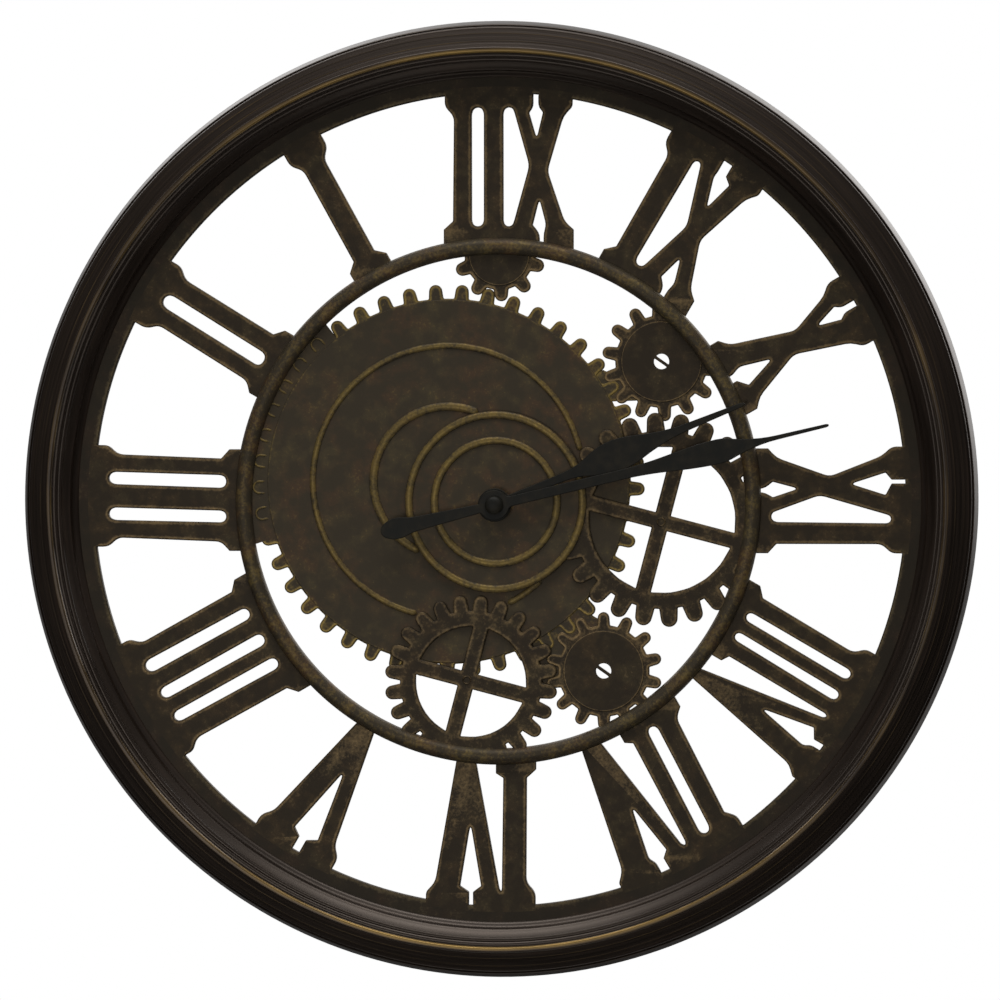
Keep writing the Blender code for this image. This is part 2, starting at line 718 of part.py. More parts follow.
def make_numerals():
    foot_radius = UNDER_RING_RADIUS + GAP / 2
    top_radius = WINDOW_RADIUS - GAP
    for name, (hour, letters) in NUMERALS.items():
        loops = numeral_loops(letters, foot_radius, top_radius)
        mesh = plate_mesh(name, loops, FLANGE_BACK, DIAL_FACE)
        place(mesh, name, "bronze", turn=30.0 * hour)


# Frame and dial


def make_frame():
    shoulder = DIAL_FACE + GAP
    rebate = FLANGE_RADIUS + GAP
    lip = FRAME_DEPTH
    profile = [
        (LIP_RADIUS + 2.2, lip - 0.9),
        (OGEE_STEP_RADIUS - 0.8, lip - 5.0),
        (OGEE_STEP_RADIUS, lip - 7.5),
        (OGEE_STEP_RADIUS + 4.6, lip - 14.5),
        (BEAD_STEP_RADIUS - 0.6, lip - 20.0),
        (BEAD_STEP_RADIUS, lip - 22.0),
        (FRAME_RADIUS - 0.7, lip - 22.8),
        (FRAME_RADIUS, FRAME_SIDE),
        (FRAME_RADIUS, FRAME_BACK_EDGE),
        (FRAME_RADIUS - FRAME_BACK_EDGE, 0.0),
        (rebate, 0.0),
        (rebate, shoulder),
        (COVE_FOOT_RADIUS, shoulder),
        (COVE_FOOT_RADIUS + 4.9, shoulder + 6.0),
        (COVE_STEP_RADIUS - 2.2, lip - 10.8),
        (COVE_STEP_RADIUS - 0.4, lip - 6.2),
        (COVE_STEP_RADIUS + 1.8, lip - 3.6),
        (LIP_RADIUS - 1.6, lip - 0.9),
        (LIP_RADIUS, lip),
    ]
    frame = turned("frame_ring", profile, ROUND_STEPS, "frame", ring=True)
    half = HANGER_LENGTH / 2 + GAP
    pocket_low = HANGER_RADIUS - HANGER_WIDTH / 2 - GAP
    pocket_high = HANGER_RADIUS + HANGER_WIDTH / 2 + GAP
    depth = HANGER_BACK + HANGER_THICKNESS + GAP
    pocket = box_mesh("hanger_pocket", (-half, pocket_low, -1.0), (half, pocket_high, depth))
    cut(frame, place(pocket, "hanger_pocket"))
    reach = KEYHOLE_RADIUS + 2.0
    cavity = box_mesh("keyhole_cavity", (-reach, HANGER_RADIUS - reach, depth - 1.0),
                      (reach, HANGER_RADIUS + reach - 1.0, KEYHOLE_CAVITY_DEPTH))
    cut(frame, place(cavity, "keyhole_cavity"))
    for side in (-1, 1):
        hole_at = (side * HANGER_SCREW_SPACING / 2, HANGER_RADIUS)
        bore(frame, SCREW_SHANK_RADIUS + SCREW_HOLE_CLEARANCE, 0.0, HANGER_BACK + HANGER_SCREW_LENGTH, hole_at,
             steps=8)
    for at in dial_screw_places():
        top = FLANGE_BACK + DIAL_SCREW_LENGTH + GAP
        bore(frame, SCREW_SHANK_RADIUS + SCREW_HOLE_CLEARANCE, shoulder, top, at, steps=8)
    return frame


def dial_screw_places():
    places = []
    for index in range(DIAL_SCREWS):
        angle = math.radians(360.0 * (index + 0.5) / DIAL_SCREWS + 180.0 / ROUND_STEPS)
        places.append((SCREW_CIRCLE_RADIUS * math.cos(angle), SCREW_CIRCLE_RADIUS * math.sin(angle)))
    return places


def across_flats(radius, steps):
    """The corner radius of a round opening whose flats stand at a radius."""
    return radius / math.cos(math.pi / steps)


def make_dial():
    window = across_flats(WINDOW_RADIUS, ROUND_STEPS)
    flange_profile = [
        (FLANGE_RADIUS, DIAL_FACE), (FLANGE_RADIUS, FLANGE_BACK),
        (window, FLANGE_BACK), (window, DIAL_FACE),
    ]
    flange = turned("dial_flange", flange_profile, ROUND_STEPS, "bronze", ring=True)
    for at in dial_screw_places():
        bore(flange, SCREW_SHANK_RADIUS + SCREW_HOLE_CLEARANCE, FLANGE_BACK, DIAL_FACE, at, steps=8)
    inner = RING_RADIUS - RING_WIDTH / 2
    outer = RING_RADIUS + RING_WIDTH / 2
    ring_profile = [
        (RING_RADIUS + RING_WIDTH * 0.34, RING_FRONT - RING_HEIGHT * 0.25),
        (outer, RAISED_BACK + 0.8), (outer, RAISED_BACK),
        (inner, RAISED_BACK), (inner, RAISED_BACK + 0.8),
        (RING_RADIUS - RING_WIDTH * 0.34, RING_FRONT - RING_HEIGHT * 0.25),
        (RING_RADIUS, RING_FRONT),
    ]
    turned("chapter_ring", ring_profile, ROUND_STEPS, "bronze", at=RING_CENTRE, ring=True)


def screw(name, at, back, length, finish="steel"):
    """A pan-head screw driven from behind, its head's underside at the level back."""
    profile = [
        (0.0, back + length), (SCREW_SHANK_RADIUS, back + length - 0.8), (SCREW_SHANK_RADIUS, back),
        (SCREW_HEAD_RADIUS, back), (SCREW_HEAD_RADIUS * 0.7, back - SCREW_HEAD_HEIGHT),
        (0.0, back - SCREW_HEAD_HEIGHT),
    ]
    return turned(name, profile, 8, finish, at)


def make_screws():
    for index, at in enumerate(dial_screw_places()):
        screw("dial_screw_%d" % (index + 1), at, FLANGE_BACK - GAP, DIAL_SCREW_LENGTH)


def make_hanger():
    low = HANGER_RADIUS - HANGER_WIDTH / 2
    high = HANGER_RADIUS + HANGER_WIDTH / 2
    half = HANGER_LENGTH / 2
    outline = [(-half, low), (half, low), (half, high), (-half, high)]
    keyhole_y = HANGER_RADIUS - KEYHOLE_DROP / 2
    slot_half = KEYHOLE_SLOT_WIDTH / 2
    opening = math.degrees(math.asin(slot_half / KEYHOLE_RADIUS))
    keyhole = arc(KEYHOLE_RADIUS, 90.0 + opening, 450.0 - opening, 12, (0.0, keyhole_y))
    slot_top = HANGER_RADIUS + KEYHOLE_DROP / 2 - slot_half
    keyhole += arc(slot_half, 0.0, 180.0, 5, (0.0, slot_top))
    loops = [outline, keyhole]
    for side in (-1, 1):
        centre = (side * HANGER_SCREW_SPACING / 2, HANGER_RADIUS)
        loops.append(circle(SCREW_SHANK_RADIUS + SCREW_HOLE_CLEARANCE, 8, centre))
        name = "hanger_screw_right" if side > 0 else "hanger_screw_left"
        screw(name, centre, HANGER_BACK - GAP, HANGER_SCREW_LENGTH)
    plate = plate_mesh("hanger_plate", loops, HANGER_BACK, HANGER_BACK + HANGER_THICKNESS)
    place(plate, "hanger_plate", "steel")


# Show gears


def web_outline():
    """The web that fills the large gear's tooth gaps on the left, out to under the chapter ring."""
    centre = MAIN_GEAR["at"]
    first, last = WEB_FROM, WEB_TO
    reach = UNDER_RING_RADIUS - GAP
    outline = arc(MAIN_GEAR["root"] - 2.0, first, last, 12, centre)
    for index in range(12):
        angle = math.radians(last + (first - last) * index / 11)
        along = (math.cos(angle), math.sin(angle))
        inward = centre[0] * along[0] + centre[1] * along[1]
        beyond = reach * reach - centre[0] ** 2 - centre[1] ** 2
        out = -inward + math.sqrt(inward * inward + beyond)
        outline.append((centre[0] + out * along[0], centre[1] + out * along[1]))
    return outline


def ring_clip(name, radius, at=(0.0, 0.0)):
    """What lies outside the chapter ring is cut away with this."""
    profile = [
        (radius + 80.0, SPOKED_FRONT + 5.0), (radius + 80.0, GEAR_BACK - 5.0),
        (radius, GEAR_BACK - 5.0), (radius, SPOKED_FRONT + 5.0),
    ]
    return turned(name, profile, ROUND_STEPS, at=at, ring=True)


def make_gear(name, gear, back, front, holes=()):
    loops = [show_gear_outline(gear)] + list(holes)
    turn = -gear["turn"]
    return place(plate_mesh(name, loops, back, front), name, "bronze", gear["at"], turn)


def room_for(gear):
    """A small gear with the gap all round it, to be cut out of the large gear and its webs."""
    roomy = dict(gear, root=gear["root"] + GAP, tip=gear["tip"] + GAP, tooth=gear["tooth"] + 2 * GAP)
    mesh = plate_mesh("room", [show_gear_outline(roomy)], GEAR_BACK - 1.0, DIAL_FACE + 1.0)
    return place(mesh, "room", at=gear["at"], turn=-gear["turn"])


def keep_largest(item):
    """Carries out the joins and cuts so far and drops the slivers they leave beside the main body."""
    graph = bpy.context.evaluated_depsgraph_get()
    mesh = bpy.data.meshes.new_from_object(item.evaluated_get(graph))
    item.modifiers.clear()
    item.data = mesh
    work = bmesh.new()
    work.from_mesh(mesh)
    bodies = []
    left = set(work.verts)
    while left:
        body = set()
        ahead = [left.pop()]
        while ahead:
            vertex = ahead.pop()
            body.add(vertex)
            for edge in vertex.link_edges:
                other = edge.other_vert(vertex)
                if other in left:
                    left.remove(other)
                    ahead.append(other)
        bodies.append(body)
    bodies.sort(key=len, reverse=True)
    for body in bodies[1:]:
        bmesh.ops.delete(work, geom=list(body), context="VERTS")
    work.to_mesh(mesh)
    work.free()


def relief_ring(name, radius, level):
    """A raised ring on the large gear's face, sunk a little into it."""
    half = RELIEF_WIDTH * 0.75
    profile = [
        (radius, level + RELIEF_HEIGHT), (radius + half, level - 0.5), (radius - half, level - 0.5),
    ]
    return turned(name, profile, 40, at=MAIN_GEAR["at"], ring=True)


def make_gears():
    under_ring = ring_clip("under_ring_clip", UNDER_RING_RADIUS - GAP / 2)
    beside_ring = ring_clip("beside_ring_clip", RING_RADIUS - RING_WIDTH / 2 - GAP, RING_CENTRE)

    main = make_gear("main_gear", MAIN_GEAR, GEAR_BACK, DIAL_FACE)
    for outline in (web_outline(), WEB_UPPER, WEB_UNDER):
        join(main, place(plate_mesh("web", [outline], GEAR_BACK + 0.4, DIAL_FACE - WEB_DROP), "web"))
    for gear in (GEAR_TOP, GEAR_UPPER, GEAR_UNDER):
        cut(main, room_for(gear))
    keep_largest(main)
    covers = []
    for label, gear in (("right", GEAR_RIGHT), ("lower", GEAR_LOWER)):
        mesh = round_mesh(label + "_cover", gear["tip"] + 1.0, GEAR_BACK, SPOKED_FRONT, 48)
        covers.append(place(mesh, label + "_cover", at=gear["at"]))
    hub_mesh = round_mesh("hub_cover", HUB_PLATE_RADIUS + 1.0, GEAR_BACK, SPOKED_FRONT, 48)
    hub_cover = place(hub_mesh, "hub_cover", at=HUB_PLATE_CENTRE)
    covers.append(hub_cover)
    for name, radius in (("relief_outer", RELIEF_OUTER_RADIUS), ("relief_inner", RELIEF_INNER_RADIUS)):
        ring = relief_ring(name, radius, DIAL_FACE)
        for cover in covers:
            cut(ring, cover)
        join(main, ring)
    bore(main, SHAFT_HOLE_RADIUS, GEAR_BACK, DIAL_FACE, SHAFT_AT)

    for name, gear, window, boss in (
        ("spoked_gear_right", GEAR_RIGHT, WINDOW_RIGHT_RADIUS, BOSS_RIGHT),
        ("spoked_gear_lower", GEAR_LOWER, WINDOW_LOWER_RADIUS, BOSS_LOWER),
    ):
        turn = -SPOKE_TURN + gear["turn"]
        holes = spoke_windows(window, SPOKE_WIDTH, turn, rotate([boss], gear["turn"])[0])
        spoked = make_gear(name, gear, RAISED_BACK, SPOKED_FRONT, holes)
        cut(spoked, beside_ring)
        if gear is GEAR_RIGHT:
            room = round_mesh("hub_room", HUB_PLATE_RADIUS + GAP, RAISED_BACK - 1.0, SPOKED_FRONT + 1.0, 64)
            cut(spoked, place(room, "hub_room", at=HUB_PLATE_CENTRE))

    moons = half_moons(SMALL_HOLE_RADIUS, SMALL_BAR_WIDTH, SMALL_BAR_TURN)
    for name, gear, holes in (
        ("small_gear_top", GEAR_TOP, []),
        ("small_gear_upper", GEAR_UPPER, moons),
        ("small_gear_under", GEAR_UNDER, moons),
    ):
        turned_holes = [rotate(loop, gear["turn"]) for loop in holes]
        small = make_gear(name, gear, GEAR_BACK, DIAL_FACE, turned_holes)
        cut(small, under_ring)


def rotate(loop, degrees):
    angle = math.radians(degrees)
    turn_cos = math.cos(angle)
    turn_sin = math.sin(angle)
    return [(x * turn_cos - y * turn_sin, x * turn_sin + y * turn_cos) for x, y in loop]


def make_hub_plate():
    beads = []
    for radius in (HUB_BEAD_OUTER_RADIUS, HUB_BEAD_INNER_RADIUS):
        half = HUB_BEAD_WIDTH / 2
        beads.append([
            (radius - half, HUB_FACE), (radius - half * 0.5, HUB_FACE + HUB_BEAD_HEIGHT),
            (radius + half * 0.5, HUB_FACE + HUB_BEAD_HEIGHT), (radius + half, HUB_FACE),
        ])
    profile = [(0.0, HUB_FACE)] + beads[1] + beads[0]
    profile += [(HUB_PLATE_RADIUS, HUB_FACE - 0.3), (HUB_PLATE_RADIUS, RAISED_BACK), (0.0, RAISED_BACK)]
    plate = turned("hub_plate", profile, 40, "bronze", HUB_PLATE_CENTRE)
    bore(plate, SHAFT_HOLE_RADIUS, RAISED_BACK, HUB_FACE, SHAFT_AT)


# Hands


def hand_outline(sections, tail, boss):
    """A hand pointing up: the blade's right side, the boss, the tail, and back up the left side."""
    right = [(half, reach) for reach, half in reversed(sections)]
    start = math.degrees(math.acos(sections[0][1] / boss))
    base = list(right)
    if tail:
        end = -math.degrees(math.acos(tail[0][1] / boss))
        base += arc(boss, start, end, 7)
        base += [(half, -reach) for reach, half in tail[1:]]
    else:
        base += arc(boss, start, -90.0, 9)[:-1]
        base.append((0.0, -boss))
    mirrored = [(-x, y) for x, y in reversed(base) if x > 0.01]
    return base + mirrored


def make_hands():
    minute = hand_outline(MINUTE_OUTLINE[1:], MINUTE_TAIL[1:], MINUTE_BOSS_RADIUS)
    hole = circle(MINUTE_ARBOR_RADIUS + GAP, 12)
    mesh = plate_mesh("minute_hand", [minute, hole], MINUTE_HAND_BACK, MINUTE_HAND_BACK + HAND_THICKNESS)
    place(mesh, "minute_hand", "hands", SHAFT_AT, MINUTE_TURN)
    hour = hand_outline(HOUR_OUTLINE[1:], None, HOUR_BOSS_RADIUS)
    hole = circle(HOUR_TUBE_RADIUS + GAP, 16)
    mesh = plate_mesh("hour_hand", [hour, hole], HOUR_HAND_BACK, HOUR_HAND_BACK + HAND_THICKNESS)
    place(mesh, "hour_hand", "hands", SHAFT_AT, HOUR_TURN)
    cap = [
        (0.0, CAP_BACK + HAND_CAP_HEIGHT), (HAND_CAP_RADIUS * 0.5, CAP_BACK + HAND_CAP_HEIGHT * 0.88),
        (HAND_CAP_RADIUS * 0.85, CAP_BACK + HAND_CAP_HEIGHT * 0.5), (HAND_CAP_RADIUS, CAP_BACK),
        (0.0, CAP_BACK),
    ]
    turned("hand_cap", cap, 20, "hands", SHAFT_AT)


# Movement


def from_shaft(x, y):
    return (SHAFT_AT[0] + x, SHAFT_AT[1] + y)


def polar(distance, bearing):
    angle = math.radians(bearing)
    return (distance * math.cos(angle), distance * math.sin(angle))


def mesh_turn(teeth, turn, bearing, mate_teeth):
    """How far a mate turns so that its gap meets the tooth of a gear on the line between them.

    turn is the first gear's turn from pointing up, anticlockwise in degrees, and bearing is the
    direction from it to its mate, anticlockwise from x.
    """
    place_of_tooth = (bearing - 90.0 - turn) * teeth / 360.0
    wanted = 0.5 - place_of_tooth
    return bearing + 180.0 - 90.0 - wanted * 360.0 / mate_teeth


INTERMEDIATE_REACH = (SECOND_TEETH + INTERMEDIATE_LEAVES) * INTERMEDIATE_MODULE / 2
ROTOR_REACH = (INTERMEDIATE_TEETH + ROTOR_LEAVES) * ROTOR_MODULE / 2
THIRD_REACH = (CENTRE_TEETH + THIRD_LEAVES) * THIRD_MODULE / 2
TRANSFER_REACH = (CANNON_LEAVES + TRANSFER_TEETH) * CANNON_MODULE / 2
KNOB_REACH = (KNOB_LEAVES + TRANSFER_TEETH) * CANNON_MODULE / 2


def added(first, second):
    return (first[0] + second[0], first[1] + second[1])


INTERMEDIATE_AT = added(SHAFT_AT, polar(INTERMEDIATE_REACH, INTERMEDIATE_BEARING))
ROTOR_AT = added(INTERMEDIATE_AT, polar(ROTOR_REACH, ROTOR_BEARING))
THIRD_AT = added(SHAFT_AT, polar(THIRD_REACH, THIRD_BEARING))
TRANSFER_AT = added(SHAFT_AT, polar(TRANSFER_REACH, TRANSFER_BEARING))
KNOB_AT = added(TRANSFER_AT, polar(KNOB_REACH, KNOB_BEARING))

# Levels inside the case, from its floor
MAGNET_LEVELS = (CASE_FLOOR + 1.5, CASE_FLOOR + 3.9)
ROTOR_PINION_FRONT = CASE_FLOOR + 5.6
STATOR_BACK = CASE_FLOOR + 2.3
THIRD_WHEEL_BACK = CASE_FLOOR + 3.3
INTERMEDIATE_WHEEL_BACK = CASE_FLOOR + 4.5
SECOND_WHEEL_BACK = CASE_FLOOR + 5.9
CENTRE_WHEEL_BACK = CASE_FLOOR + 7.7
CANNON_BACK = CASE_FLOOR + 8.9
TRANSFER_WHEEL_BACK = CASE_FLOOR + 9.3
HOUR_WHEEL_BACK = CASE_FLOOR + 11.6


def wheel(name, teeth, module, level, pinion, finish, at, turn, bore_radius):
    """A toothed wheel with its pinion along the same arbor, bored to turn on a post.

    pinion is (leaves, module, back, front, turn), and both turns are anticlockwise.
    """
    outline = train_outline(teeth, module)
    disc = place(plate_mesh(name, [outline], level, level + WHEEL_THICKNESS), name, finish, at, turn)
    leaves, leaf_module, back, front, leaf_turn = pinion
    label = name + "_pinion"
    outline = train_outline(leaves, leaf_module, leaf=True)
    join(disc, place(plate_mesh(label, [outline], back, front), label, at=at, turn=leaf_turn))
    bore(disc, bore_radius, back, front, at, steps=8)
    return disc


def make_going_train():
    """Wheels from the rotor to the minute arbor, each on a post of the case."""
    second_turn = 0.0
    centre_turn = 0.0
    wheel("second_wheel", SECOND_TEETH, SECOND_MODULE, SECOND_WHEEL_BACK,
          (SECOND_LEAVES, SECOND_MODULE, THIRD_WHEEL_BACK - 0.4, SECOND_WHEEL_BACK + WHEEL_THICKNESS + 0.1, 0.0),
          "white_plastic", SHAFT_AT, second_turn, POST_BORE)
    leaf_turn = mesh_turn(SECOND_TEETH, second_turn, INTERMEDIATE_BEARING, INTERMEDIATE_LEAVES)
    wheel("intermediate_wheel", INTERMEDIATE_TEETH, ROTOR_MODULE, INTERMEDIATE_WHEEL_BACK,
          (INTERMEDIATE_LEAVES, INTERMEDIATE_MODULE, INTERMEDIATE_WHEEL_BACK - 0.1,
           SECOND_WHEEL_BACK + 1.2, leaf_turn),
          "white_plastic", INTERMEDIATE_AT, 0.0, POST_BORE)
    third_turn = mesh_turn(SECOND_LEAVES, 0.0, THIRD_BEARING, THIRD_TEETH)
    leaf_turn = mesh_turn(CENTRE_TEETH, centre_turn, THIRD_BEARING, THIRD_LEAVES)
    wheel("third_wheel", THIRD_TEETH, SECOND_MODULE, THIRD_WHEEL_BACK,
          (THIRD_LEAVES, THIRD_MODULE, THIRD_WHEEL_BACK - 0.1, CENTRE_WHEEL_BACK + 1.0, leaf_turn),
          "white_plastic", THIRD_AT, third_turn, POST_BORE)
    rotor_turn = mesh_turn(INTERMEDIATE_TEETH, 0.0, ROTOR_BEARING, ROTOR_LEAVES)
    outline = train_outline(ROTOR_LEAVES, ROTOR_MODULE, leaf=True)
    leaves = plate_mesh("rotor", [outline], MAGNET_LEVELS[0] + 0.2, ROTOR_PINION_FRONT)
    rotor = place(leaves, "rotor", "steel", ROTOR_AT, rotor_turn)
    magnet = round_mesh("rotor_magnet", MAGNET_RADIUS, MAGNET_LEVELS[0], MAGNET_LEVELS[1], 16)
    join(rotor, place(magnet, "rotor_magnet", at=ROTOR_AT))
    bore(rotor, POST_BORE - 0.1, MAGNET_LEVELS[0], ROTOR_PINION_FRONT, ROTOR_AT, steps=10)
    loops = [train_outline(CENTRE_TEETH, THIRD_MODULE), circle(ARBOR_FOOT_RADIUS + GAP, 12)]
    place(plate_mesh("centre_wheel", loops, CENTRE_WHEEL_BACK, CENTRE_WHEEL_BACK + WHEEL_THICKNESS),
          "centre_wheel", "brass", SHAFT_AT, centre_turn)


def make_motion_work():
    """Minute arbor, transfer wheel, hour wheel and the setting knob that drives them."""
    arbor_back = CENTRE_WHEEL_BACK - 0.2
    cannon_front = HOUR_WHEEL_BACK - GAP
    profile = [
        (0.0, ARBOR_FRONT), (MINUTE_ARBOR_RADIUS, ARBOR_FRONT), (MINUTE_ARBOR_RADIUS, cannon_front - 0.2),
        (ARBOR_FOOT_RADIUS, cannon_front - 0.2), (ARBOR_FOOT_RADIUS, arbor_back), (0.0, arbor_back),
    ]
    arbor = turned("minute_arbor", profile, 12, "steel", SHAFT_AT)
    outline = train_outline(CANNON_LEAVES, CANNON_MODULE, leaf=True)
    cannon = plate_mesh("cannon_pinion", [outline], CANNON_BACK, cannon_front)
    join(arbor, place(cannon, "cannon_pinion", at=SHAFT_AT))
    transfer_turn = mesh_turn(CANNON_LEAVES, 0.0, TRANSFER_BEARING, TRANSFER_TEETH)
    wheel("transfer_wheel", TRANSFER_TEETH, CANNON_MODULE, TRANSFER_WHEEL_BACK,
          (TRANSFER_LEAVES, HOUR_MODULE, TRANSFER_WHEEL_BACK - 0.1, COVER_BACK - 0.9, 0.0),
          "white_plastic", TRANSFER_AT, transfer_turn, POST_BORE)
    hour_turn = mesh_turn(TRANSFER_LEAVES, 0.0, TRANSFER_BEARING + 180.0, HOUR_TEETH)
    outline = train_outline(HOUR_TEETH, HOUR_MODULE)
    disc = plate_mesh("hour_wheel", [outline], HOUR_WHEEL_BACK, HOUR_WHEEL_BACK + WHEEL_THICKNESS + 0.2)
    hour = place(disc, "hour_wheel", "brass", SHAFT_AT, hour_turn)
    tube = round_mesh("hour_tube", HOUR_TUBE_RADIUS, HOUR_WHEEL_BACK + 0.2, HOUR_TUBE_FRONT, 16)
    join(hour, place(tube, "hour_tube", at=SHAFT_AT, turn=BORE_TURN))
    bore(hour, HOUR_TUBE_BORE, HOUR_WHEEL_BACK, HOUR_TUBE_FRONT, SHAFT_AT, steps=12)
    knob_turn = mesh_turn(TRANSFER_TEETH, transfer_turn, KNOB_BEARING, KNOB_LEAVES)
    knob_front = CASE_REAR - GAP
    profile = [
        (0.0, TRANSFER_WHEEL_BACK + 1.2), (KNOB_STEM_RADIUS, TRANSFER_WHEEL_BACK + 1.0),
        (KNOB_STEM_RADIUS, knob_front), (KNOB_RADIUS, knob_front),
        (KNOB_RADIUS, knob_front - KNOB_THICKNESS), (0.0, knob_front - KNOB_THICKNESS),
    ]
    knob = turned("setting_knob", profile, 16, "black_plastic", KNOB_AT)
    loops = [train_outline(KNOB_LEAVES, CANNON_MODULE, leaf=True)]
    leaf_mesh = plate_mesh("knob_pinion", loops, TRANSFER_WHEEL_BACK - 0.2, TRANSFER_WHEEL_BACK + 0.9)
    join(knob, place(leaf_mesh, "knob_pinion", at=KNOB_AT, turn=knob_turn))


def make_case():
    """The rear shell: train chamber, open battery bay and the posts for the wheels."""
    half = HALF_CASE
    shell = place(box_mesh("movement_case", (-half, -half, CASE_REAR), (half, half, CASE_FRONT)),
                  "movement_case", "black_plastic", SHAFT_AT)
    inner = half - CASE_WALL
    chamber = box_mesh("case_chamber", (-inner, BAY_TOP_Y + BAY_WALL, CASE_FLOOR), (inner, inner, CASE_FRONT + 1.0))
    cut(shell, place(chamber, "case_chamber", at=SHAFT_AT))
    bay = box_mesh("battery_bay", (-inner, BAY_FLOOR_Y, CASE_REAR - 1.0), (inner, BAY_TOP_Y, CASE_FRONT + 1.0))
    cut(shell, place(bay, "battery_bay", at=SHAFT_AT))
    for name, at, top in (
        ("second_post", SHAFT_AT, CENTRE_WHEEL_BACK - 0.5),
        ("intermediate_post", INTERMEDIATE_AT, CENTRE_WHEEL_BACK - 0.5),
        ("third_post", THIRD_AT, CENTRE_WHEEL_BACK + 1.1),
        ("rotor_post", ROTOR_AT, ROTOR_PINION_FRONT + 0.2),
    ):
        radius = POST_RADIUS - 0.1 if name == "rotor_post" else POST_RADIUS
        join(shell, place(round_mesh(name, radius, CASE_REAR + 0.4, top, 8), name, at=at))
    bore(shell, KNOB_STEM_RADIUS + RUNNING, CASE_REAR, CASE_FLOOR, KNOB_AT, steps=12)


def make_cover():
    """The front cover with the threaded bushing and the transfer wheel's post."""
    half = HALF_CASE
    cover = place(box_mesh("movement_cover", (-half, -half, COVER_BACK), (half, half, COVER_FRONT)),
                  "movement_cover", "black_plastic", SHAFT_AT)
    bushing = round_mesh("bushing", BUSHING_RADIUS, COVER_BACK + 0.4, BUSHING_FRONT, 24)
    join(cover, place(bushing, "bushing", at=SHAFT_AT))
    post = round_mesh("transfer_post", POST_RADIUS, TRANSFER_WHEEL_BACK - 0.1, COVER_BACK + 0.4, 8)
    join(cover, place(post, "transfer_post", at=TRANSFER_AT))
    bore(cover, BUSHING_BORE, COVER_BACK, BUSHING_FRONT, SHAFT_AT, steps=16)


def make_fixings():
    """Gasket behind the dial, washer and hexagon nut in front of it."""
    hole = circle(SHAFT_HOLE_RADIUS, 16)
    gasket = plate_mesh("rubber_gasket", [circle(GASKET_RADIUS, 24), hole],
                        GASKET_FRONT - GASKET_THICKNESS, GASKET_FRONT)
    place(gasket, "rubber_gasket", "rubber", SHAFT_AT)
    washer = plate_mesh("dial_washer", [circle(WASHER_RADIUS, 20), hole], WASHER_BACK,
                        WASHER_BACK + WASHER_THICKNESS)
    place(washer, "dial_washer", "brass", SHAFT_AT)
    corner = NUT_ACROSS_FLATS / math.sqrt(3)
    nut = plate_mesh("hex_nut", [circle(corner, 6), hole], NUT_BACK, NUT_BACK + NUT_THICKNESS)
    place(nut, "hex_nut", "brass", SHAFT_AT)


def sideways(item, level):
    """Lays a turned piece's axis along world X at a level from the wall."""
    item.rotation_euler = (0.0, math.pi / 2, 0.0)
    item.location.y = -level * MM


def make_battery():
    level = CASE_FRONT - BATTERY_RADIUS - GAP
    centre = from_shaft(0.0, (BAY_FLOOR_Y + BAY_TOP_Y) / 2)
    half = BATTERY_LENGTH / 2
    profile = [
        (0.0, half + BATTERY_NUB_LENGTH), (BATTERY_NUB_RADIUS, half + BATTERY_NUB_LENGTH),
        (BATTERY_NUB_RADIUS, half), (BATTERY_RADIUS - 0.6, half), (BATTERY_RADIUS, half - 0.6),
        (BATTERY_RADIUS, -half), (0.0, -half),
    ]
    sideways(turned("battery", profile, 16, "battery", centre), level)
    inner = HALF_CASE - CASE_WALL - GAP
    low = level - CONTACT_WIDTH / 2
    high = level + CONTACT_WIDTH / 2
    y = (BAY_FLOOR_Y + BAY_TOP_Y) / 2
    left_end = -half - GAP
    left = box_mesh("battery_contact_minus", (-inner, y - CONTACT_WIDTH / 2, low),
                    (max(-inner + CONTACT_THICKNESS, left_end), y + CONTACT_WIDTH / 2, high))
    place(left, "battery_contact_minus", "steel", SHAFT_AT)
    right_end = half + BATTERY_NUB_LENGTH + GAP
    right = box_mesh("battery_contact_plus", (right_end, y - CONTACT_WIDTH / 2, low),
                     (inner, y + CONTACT_WIDTH / 2, high))
    place(right, "battery_contact_plus", "steel", SHAFT_AT)


